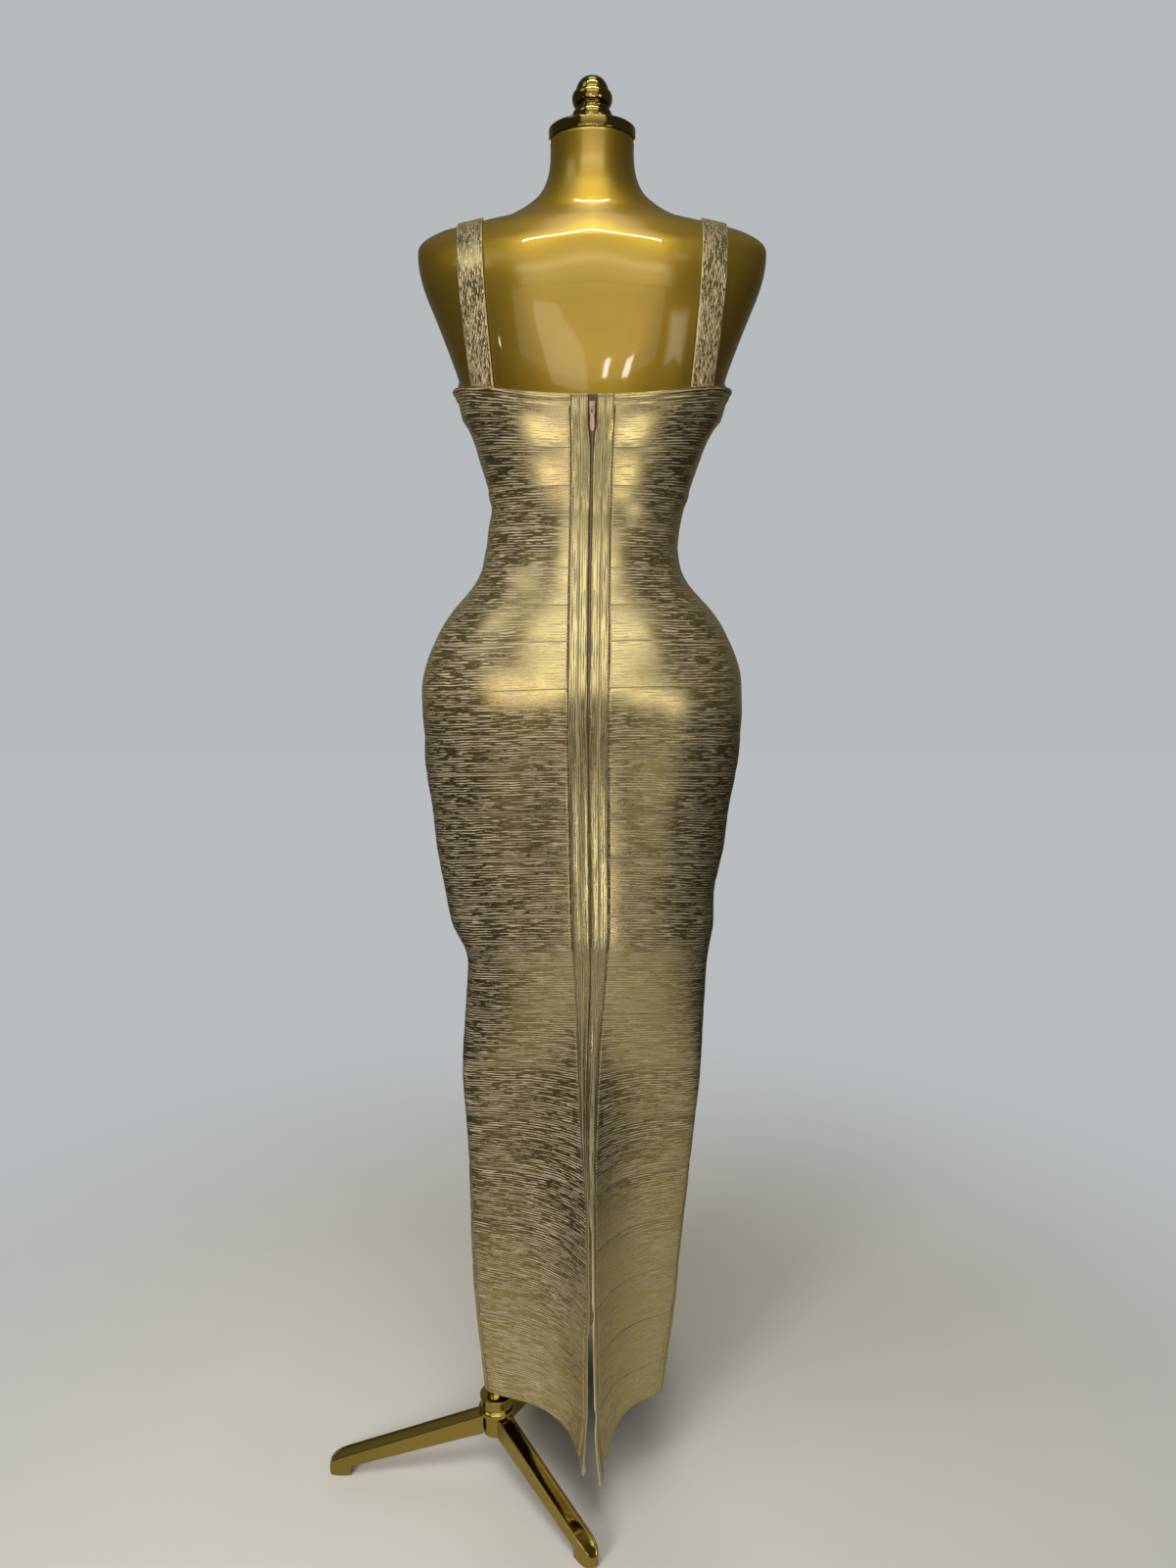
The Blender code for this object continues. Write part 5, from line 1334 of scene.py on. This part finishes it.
def tape_material(tone):
    material, graph, shader = new_material("zip_tape_twill")
    weave = graph.add("ShaderNodeTexWave", {"Vector": graph.sheet_spot(), "Scale": 420.0,
                                            "Distortion": 0.6},
                      wave_type="BANDS", bands_direction="DIAGONAL").outputs["Fac"]
    plug(graph, shader, Base_Color=graph.mix(weave, shaded(tone, 0.7), tone), Roughness=0.8,
         Sheen_Weight=0.2, Normal=graph.bump(weave, 0.4, 0.0002))
    return material


def thread_material(name, tone):
    material, graph, shader = new_material(name)
    twist = graph.noise(graph.spot(), 1800.0, 2.0)
    plug(graph, shader, Base_Color=graph.mix(twist, shaded(tone, 0.7), tone), Roughness=0.75,
         Sheen_Weight=0.1, Normal=graph.bump(twist, 0.3, 0.0001))
    return material


# metallic, roughness, coat, smudges, grain, depth of the unevenness, flake
GLOSSES = {
    "polished_plating": (1.0, 0.07, 0.0, 0.07, 0.02, 0.0002, 0.0),
    # the cap's entry: its colour is the plating darkened in FORM_OT_cap, a painted shade on the cap and
    # finial
    "polished_cap": (1.0, 0.04, 0.0, 0.04, 0.01, 0.0001, 0.0),
    "gold_lacquer_coat": (0.90, 0.37, 1.0, 0.04, 0.02, 0.00005, 0.1),
    "zip_enamel": (0.15, 0.30, 0.5, 0.1, 0.03, 0.0002, 0.0),
    "socket_zinc": (1.0, 0.32, 0.0, 0.2, 0.08, 0.0004, 0.0),
}


def gloss_material(name, base):
    """Polished plating or lacquer with dust, smudges and a faint unevenness."""
    if name in bpy.data.materials:
        return bpy.data.materials[name]
    metallic, roughness, coat, smudge, grain, depth, flake = GLOSSES[name]
    material, graph, shader = new_material(name)
    place = graph.spot()
    handled = graph.add("ShaderNodeGroup", {"Vector": place, "Smudge": smudge, "Grain": grain},
                        node_tree=speck_group())
    tone = graph.mix(graph.ramp(graph.noise(place, 5.0, 2.0), 0.3, 0.7), shaded(base, 0.93), base)
    if flake:
        sparkle = graph.ramp(graph.noise(place, 2600.0, 1.0), 0.55, 0.75)
        tone = graph.mix(graph.math("MULTIPLY", sparkle, flake), tone, shaded(base, 1.5))
    tone = graph.mix(graph.math("MULTIPLY", handled.outputs["Specks"], 0.35), tone,
                     shaded(base, 0.35))
    plug(graph, shader, Base_Color=tone, Metallic=metallic, Coat_Weight=coat, Coat_Roughness=0.05,
         Coat_IOR=1.65, Roughness=graph.math("ADD", handled.outputs["Roughness"], roughness),
         Normal=graph.bump(graph.noise(place, 60.0, 2.0), 0.12, depth))
    return material


def settle(pieces, body=MAIN_BODY):
    """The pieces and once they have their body."""
    for piece in pieces:
        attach(piece, body)
    return pieces


def repaint(node, material):
    """Give a CAD node that stays visible its material."""
    data = frame["nodes"][node].data
    data.materials.clear()
    data.materials.append(material)


class DRESS_OT_panels(bpy.types.Operator):
    """Build the front and both back halves of sewn strips"""
    bl_idname = "dress.panels"
    bl_label = "Strip panels"

    def execute(self, context):
        knit = foil_material("foil_knit_strips")
        left, right, front = settle(make_panels(context.scene.dress_settings, knit))
        return {"FINISHED"}


class DRESS_OT_plackets(bpy.types.Operator):
    """Build the upright strips beside the zip and down the slit"""
    bl_idname = "dress.plackets"
    bl_label = "Plackets"

    def execute(self, context):
        pieces = make_plackets(context.scene.dress_settings, foil_material("foil_knit_grain"))
        left, right = settle(pieces)
        return {"FINISHED"}


class DRESS_OT_binding(bpy.types.Operator):
    """Build the rolled band along the top edge"""
    bl_idname = "dress.binding"
    bl_label = "Top binding"

    def execute(self, context):
        (band,) = settle(make_binding(foil_material("foil_knit_strips")))
        return {"FINISHED"}


class DRESS_OT_straps(bpy.types.Operator):
    """Build both shoulder straps"""
    bl_idname = "dress.straps"
    bl_label = "Shoulder straps"

    def execute(self, context):
        settings = context.scene.dress_settings
        straps = make_straps(settings, foil_material("foil_knit_straps"))
        for strap in settle(straps):
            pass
        return {"FINISHED"}


class DRESS_OT_zip(bpy.types.Operator):
    """Build the zip: tapes, coil, slider and swinging pull"""
    bl_idname = "dress.zip"
    bl_label = "Zip"

    def execute(self, context):
        settings = context.scene.dress_settings
        for tape in settle(make_tapes(tape_material(settings.tape))):
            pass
        paint = gloss_material("zip_enamel", settings.zip_paint)
        settle(make_teeth(settings, paint))
        settle(make_slider(paint))
        settle(make_pull(paint), PULL_BODY)
        return {"FINISHED"}


class DRESS_OT_stitching(bpy.types.Operator):
    """Build the stitches, the frayed slit edges and the loose thread"""
    bl_idname = "dress.stitching"
    bl_label = "Stitching and loose threads"

    def execute(self, context):
        dark = thread_material("seam_thread", (0.11, 0.075, 0.035))
        pale = thread_material("loose_yarn", (0.62, 0.50, 0.40))
        settle(make_stitches(context.scene.dress_settings, dark))
        settle(make_frays(pale))
        return {"FINISHED"}


class FORM_OT_torso(bpy.types.Operator):
    """Build the lacquered torso and paint its base plate and pole socket"""
    bl_idname = "dress_form.torso"
    bl_label = "Torso"

    def execute(self, context):
        lacquer = gloss_material("gold_lacquer_coat", context.scene.form_settings.lacquer)
        settle(make_form(lacquer))
        repaint("form_base_plate", lacquer)
        repaint("pole_socket", gloss_material("socket_zinc", (0.52, 0.52, 0.53)))
        return {"FINISHED"}


class FORM_OT_cap(bpy.types.Operator):
    """Build the neck cap and its turned finial"""
    bl_idname = "dress_form.cap"
    bl_label = "Neck cap and finial"

    def execute(self, context):
        # the cap and finial take the plating darkened to 0.6: painted shade standing in for the dark
        # room they reflect
        tone = shaded(context.scene.stand_settings.plating, 0.6)
        settle(make_cap(gloss_material("polished_cap", tone)))
        return {"FINISHED"}


class FORM_OT_stand(bpy.types.Operator):
    """Build the pole, hub, collar and three cast legs"""
    bl_idname = "dress_form.stand"
    bl_label = "Stand"

    def execute(self, context):
        settings = context.scene.stand_settings
        plating = gloss_material("polished_plating", settings.plating)
        settle(make_pole_and_hub(plating) + make_legs(settings, plating))
        return {"FINISHED"}


# place about the form's axis, aim point, width, height, power, colour, whether gloss shows it
LIGHTS = {
    "key_window": ((1.00, 1.60, 0.90), (0.0, 0.0, 0.55), 0.45, 0.6, 19.0, (1.0, 0.97, 0.93), False),
    "ceiling_strip": ((0.0, 0.50, 2.75), (0.0, 0.0, 1.2), 1.1, 0.05, 6.0, (1.0, 0.98, 0.95), True),
    "floor_wash": ((0.2, 0.9, 2.9), (0.0, 0.1, 0.0), 1.6, 1.2, 26.0, (0.97, 0.98, 1.0), False),
    "floor_fill": ((0.3, -2.4, 2.0), (0.0, 0.0, 1.0), 1.6, 1.6, 10.0, (1.0, 0.99, 0.98), False),
    "front_fill": ((0.0, -2.2, 1.4), (0.0, 0.0, 1.0), 0.8, 1.6, 9.0, (1.0, 0.97, 0.92), True),
    "front_glow": ((-0.6, -1.4, 0.9), (0.0, 0.0, 0.9), 1.0, 1.8, 6.0, (1.0, 0.93, 0.78), True),
    "floor_shine": ((0.0, 2.9, 0.02), (0.0, 2.9, 1.0), 3.4, 1.3, 1.0, (1.0, 0.89, 0.76), True),
    "shine_left": ((1.25, 1.75, 0.02), (1.25, 1.75, 1.0), 0.9, 0.9, 0.45, (1.0, 0.86, 0.74), True),
    "shine_right": ((-1.15, 1.75, 0.02), (-1.15, 1.75, 1.0), 0.9, 0.8, 0.9, (1.0, 0.96, 0.80), True),
    "gleam": ((-0.09, 1.40, 0.02), (-0.09, 1.40, 1.0), 0.2, 0.5, 1.2, (1.0, 0.93, 0.80), True),
    "bust_left": ((0.23, 0.43, 1.06), (0.20, 0.325, 1.34), 0.26, 0.25, 0.26, (1.0, 0.86, 0.68), True),
    "bust_right": ((-0.21, 0.43, 1.06), (-0.19, 0.325, 1.34), 0.18, 0.25, 0.20, (1.0, 0.93, 0.70), True),
    "hip_card": ((0.26, 0.31, 1.09), (0.083, 0.12, 1.0), 0.16, 0.07, 0.03, (1.0, 0.93, 0.75), True),
    "waist_glow": ((0.05, 0.75, 1.20), (0.02, 0.1, 1.17), 0.55, 0.22, 0.34, (1.0, 0.93, 0.78), True),
    "strap_glow": ((0.0, 1.60, 1.40), (0.0, 0.1, 1.42), 1.8, 1.0, 36.0, (1.0, 0.93, 0.76), False),
    "mid_glow": ((0.20, 3.30, 1.62), (0.0, 0.1, 1.35), 4.2, 1.7, 11.0, (1.0, 0.935, 0.80), True),
    "back_window": ((0.48, 3.05, 1.29), (0.0, 0.1, 1.35), 0.86, 1.23, 3.2, (1.0, 0.97, 0.88), True),
    "lamp_left": ((1.91, 1.50, 1.11), (0.1, 0.1, 1.38), 0.05, 0.09, 0.16, (1.0, 0.96, 0.9), True),
    "lamp_right": ((-0.12, 1.89, 1.18), (0.0, 0.1, 1.36), 0.05, 0.22, 0.38, (1.0, 0.95, 0.88), True),
    "lamp_far": ((-0.40, 1.84, 1.12), (0.0, 0.1, 1.37), 0.10, 0.18, 0.60, (1.0, 0.90, 0.80), True),
}
STRAP_PIECES = ("dress_strap_left", "dress_strap_right")
GLOSSY_PIECES = ("form_torso", "neck_cap_disc", "neck_finial")
# which pieces a lamp lights, for the lamps that don't light all of them
LIT_PIECES = {"front_fill": "outlook", "front_glow": "front", "ceiling_strip": "glossy",
              "mid_glow": "glossy", "back_window": "glossy",
              "lamp_left": "glossy", "lamp_right": "glossy", "lamp_far": "glossy",
              "bust_left": "cloth", "bust_right": "cloth", "hip_card": "cloth",
              "waist_glow": "cloth", "strap_glow": "straps"}
BACKDROP = (0.47, 0.495, 0.515)
FLOOR_HALF_SIZE, FLOOR_HEIGHT = 6.0, -0.0005
# painted shadow on the floor behind the slit: its centre, and how fast it fades along x and y
SHADOW_SPOT = Vector((-0.01, -0.15, 0.0))
SHADOW_SHARPNESS = Vector((6.5, 3.8, 0.0))
# centre of the pool of light painted on the floor for reflections only
REFLECTION_POOL_SPOT = Vector((-0.22, 0.12, 0.0))
CAMERA_SPOT, CAMERA_LENS, CAMERA_TILT = (0.0045, 1.37, 1.154), 27.0, 10.3
# what shines from round the room: turn from the back, height of the way, softness, colour
ROOM_GLOW = (
    (-0.62, 0.50, 0.32, 0.54, 0.10, 0.12, (0.86, 0.83, 0.70)),
    (-0.60, 0.60, 0.54, 0.68, 0.12, 0.08, (1.60, 1.54, 1.30)),
    (0.95, 1.35, 0.54, 0.70, 0.08, 0.05, (0.90, 0.87, 0.74)),
    (-1.00, 1.50, 0.72, 0.80, 0.15, 0.06, (0.55, 0.53, 0.46)),
    (-3.50, 3.50, 0.965, 1.30, 0.30, 0.025, (0.95, 0.92, 0.80)),
    (-0.90, -0.64, -0.24, 0.04, 0.06, 0.06, (1.60, 1.52, 1.32)),
)


def area_light(name, spot, aim, width, height, power, tone, glossy):
    data = bpy.data.lights.new(name, "AREA")
    data.shape = "RECTANGLE"
    data.size = width
    data.size_y = height
    data.energy = power
    data.color = tone
    lamp = linked(name, data)
    lamp.location = AXIS + Vector(spot)
    way = AXIS + Vector(aim) - lamp.location
    lamp.rotation_euler = way.to_track_quat("-Z", "Y").to_euler()
    lamp.visible_glossy = glossy
    lamp.visible_camera = False
    return lamp


def light_pieces(pieces):
    """Every lamp, and the collections of pieces that some of them are kept to."""
    groups = {word: bpy.data.collections.new(word) for word in sorted(set(LIT_PIECES.values()))}
    for piece in pieces:
        strap, glossy = piece.name in STRAP_PIECES, piece.name in GLOSSY_PIECES
        front = piece.name == "dress_front"
        for word, wanted in (("glossy", glossy), ("cloth", not glossy), ("straps", strap),
                             ("outlook", strap or glossy or front), ("front", front)):
            if wanted:
                groups[word].objects.link(piece)
    for name, values in LIGHTS.items():
        lamp = area_light(name, *values)
        if name in LIT_PIECES:
            lamp.light_linking.receiver_collection = groups[LIT_PIECES[name]]


def room_world():
    """Pale backdrop for the eye, and a studio of bright and dark walls for reflections."""
    world = bpy.data.worlds.new("studio")
    bpy.context.scene.world = world
    world.use_nodes = True
    graph = Graph(world.node_tree)
    shade = world.node_tree.nodes["Background"]
    way = graph.add("ShaderNodeTexCoord").outputs["Generated"]
    x, y, z = graph.add("ShaderNodeSeparateXYZ", {"Vector": way}).outputs
    turn = graph.math("ARCTAN2", x, y)
    behind = graph.ramp(graph.math("ABSOLUTE", turn), 2.0, 2.7)
    room = graph.mix(behind, (0.045, 0.039, 0.026), (0.10, 0.094, 0.072))
    for low, high, under, over, soft_turn, soft_height, tone in ROOM_GLOW:
        lobe = 1.0
        for value, edge, soft in ((turn, low, soft_turn), (turn, high, -soft_turn),
                                  (z, under, soft_height), (z, over, -soft_height)):
            lobe = graph.math("MULTIPLY", graph.ramp(value, edge - soft, edge + soft), lobe)
        room = graph.mix(lobe, room, tone, "ADD")
    eye = graph.add("ShaderNodeLightPath").outputs["Is Camera Ray"]
    graph.feed(shade.inputs["Color"], graph.mix(eye, room, BACKDROP))
    shade.inputs["Strength"].default_value = 1.0


def floor_material():
    """Pale floor with a painted shadow behind the slit, a painted pool of light that only reflections
    see, and a fade into the backdrop further off.
    """
    material, graph, shader = new_material("pale_floor")
    spot = graph.spot()
    path = graph.add("ShaderNodeLightPath").outputs
    near = graph.mix(graph.noise(spot, 1.6, 4.0, 0.55), (0.70, 0.69, 0.65), (0.82, 0.81, 0.77))
    from_slit = graph.vectors("SUBTRACT", spot, AXIS + SHADOW_SPOT)
    scaled = graph.vectors("MULTIPLY", from_slit, SHADOW_SHARPNESS)
    reach = graph.vectors("LENGTH", scaled, name="Value")
    # painted shadow: the floor goes near black in a stretched spot behind the slit, under the dress
    near = graph.mix(graph.ramp(reach, 0.0, 1.0), (0.07, 0.062, 0.06), near)
    far = graph.ramp(graph.distance(spot, AXIS), 0.45, 1.5)
    seen = graph.mix(far, near, (0.0, 0.0, 0.0))
    # painted reflection: glossy rays see a warm pale pool round this spot and a black floor further off,
    # in place of the floor's own colour
    from_gloss = graph.ramp(graph.distance(spot, AXIS + REFLECTION_POOL_SPOT), 0.30, 1.15)
    shone = graph.mix(from_gloss, (0.35, 0.325, 0.26), (0.0, 0.0, 0.0))
    plug(graph, shader, Base_Color=graph.mix(path["Is Glossy Ray"], seen, shone), Roughness=0.6,
         Emission_Color=(*BACKDROP, 1.0),
         Emission_Strength=graph.math("MULTIPLY", far, path["Is Camera Ray"]))
    return material


class DRESS_OT_studio(bpy.types.Operator):
    """Build the floor, the lights and the camera"""
    bl_idname = "dress.studio"
    bl_label = "Studio"

    def execute(self, context):
        pieces = [piece for piece in context.scene.objects if piece.type == "MESH"]
        mesh = bmesh.new()
        bmesh.ops.create_grid(mesh, x_segments=8, y_segments=8, size=FLOOR_HALF_SIZE)
        bmesh.ops.translate(mesh, vec=(AXIS.x, AXIS.y, FLOOR_HEIGHT), verts=mesh.verts)
        bmesh_object("studio_floor", mesh, floor_material())
        light_pieces(pieces)
        room_world()
        data = bpy.data.cameras.new("camera")
        data.lens = CAMERA_LENS
        data.sensor_width = 36.0
        camera = linked("camera", data)
        camera.location = AXIS + Vector(CAMERA_SPOT)
        camera.rotation_euler = (math.radians(90 - CAMERA_TILT), 0.0, math.radians(180))
        context.scene.camera = camera
        context.scene.view_settings.view_transform = "Standard"
        return {"FINISHED"}


STEPS = (DRESS_OT_panels, DRESS_OT_plackets, DRESS_OT_binding, DRESS_OT_straps, DRESS_OT_zip,
         DRESS_OT_stitching, FORM_OT_torso, FORM_OT_cap, FORM_OT_stand, DRESS_OT_studio)


class DRESS_PT_panel(bpy.types.Panel):
    """Lists the steps that build the dressed form"""
    bl_idname = "DRESS_PT_panel"
    bl_label = "Dress on a form"
    bl_space_type = "VIEW_3D"
    bl_region_type = "UI"
    bl_category = "Dress"

    def draw(self, context):
        for step in STEPS:
            self.layout.operator(step.bl_idname)
        for settings in (context.scene.dress_settings, context.scene.form_settings,
                         context.scene.stand_settings):
            for name in settings.bl_rna.properties.keys():
                if name not in ("rna_type", "name"):
                    self.layout.prop(settings, name)


SETTINGS = {"dress_settings": DressSettings, "form_settings": FormSettings,
            "stand_settings": StandSettings}


def register():
    for settings in SETTINGS.values():
        bpy.utils.register_class(settings)
    for step in STEPS + (DRESS_PT_panel,):
        bpy.utils.register_class(step)
    for name, settings in SETTINGS.items():
        setattr(bpy.types.Scene, name, bpy.props.PointerProperty(type=settings))


def unregister():
    for name in SETTINGS:
        delattr(bpy.types.Scene, name)
    for step in reversed((*SETTINGS.values(), *STEPS, DRESS_PT_panel)):
        bpy.utils.unregister_class(step)


def main():
    register()
    for step in STEPS:
        group, name = step.bl_idname.split(".")
        result = getattr(getattr(bpy.ops, group), name)()
        if result != {"FINISHED"}:
            raise RuntimeError(step.bl_idname + " did not finish")


if __name__ == "__main__":
    main()
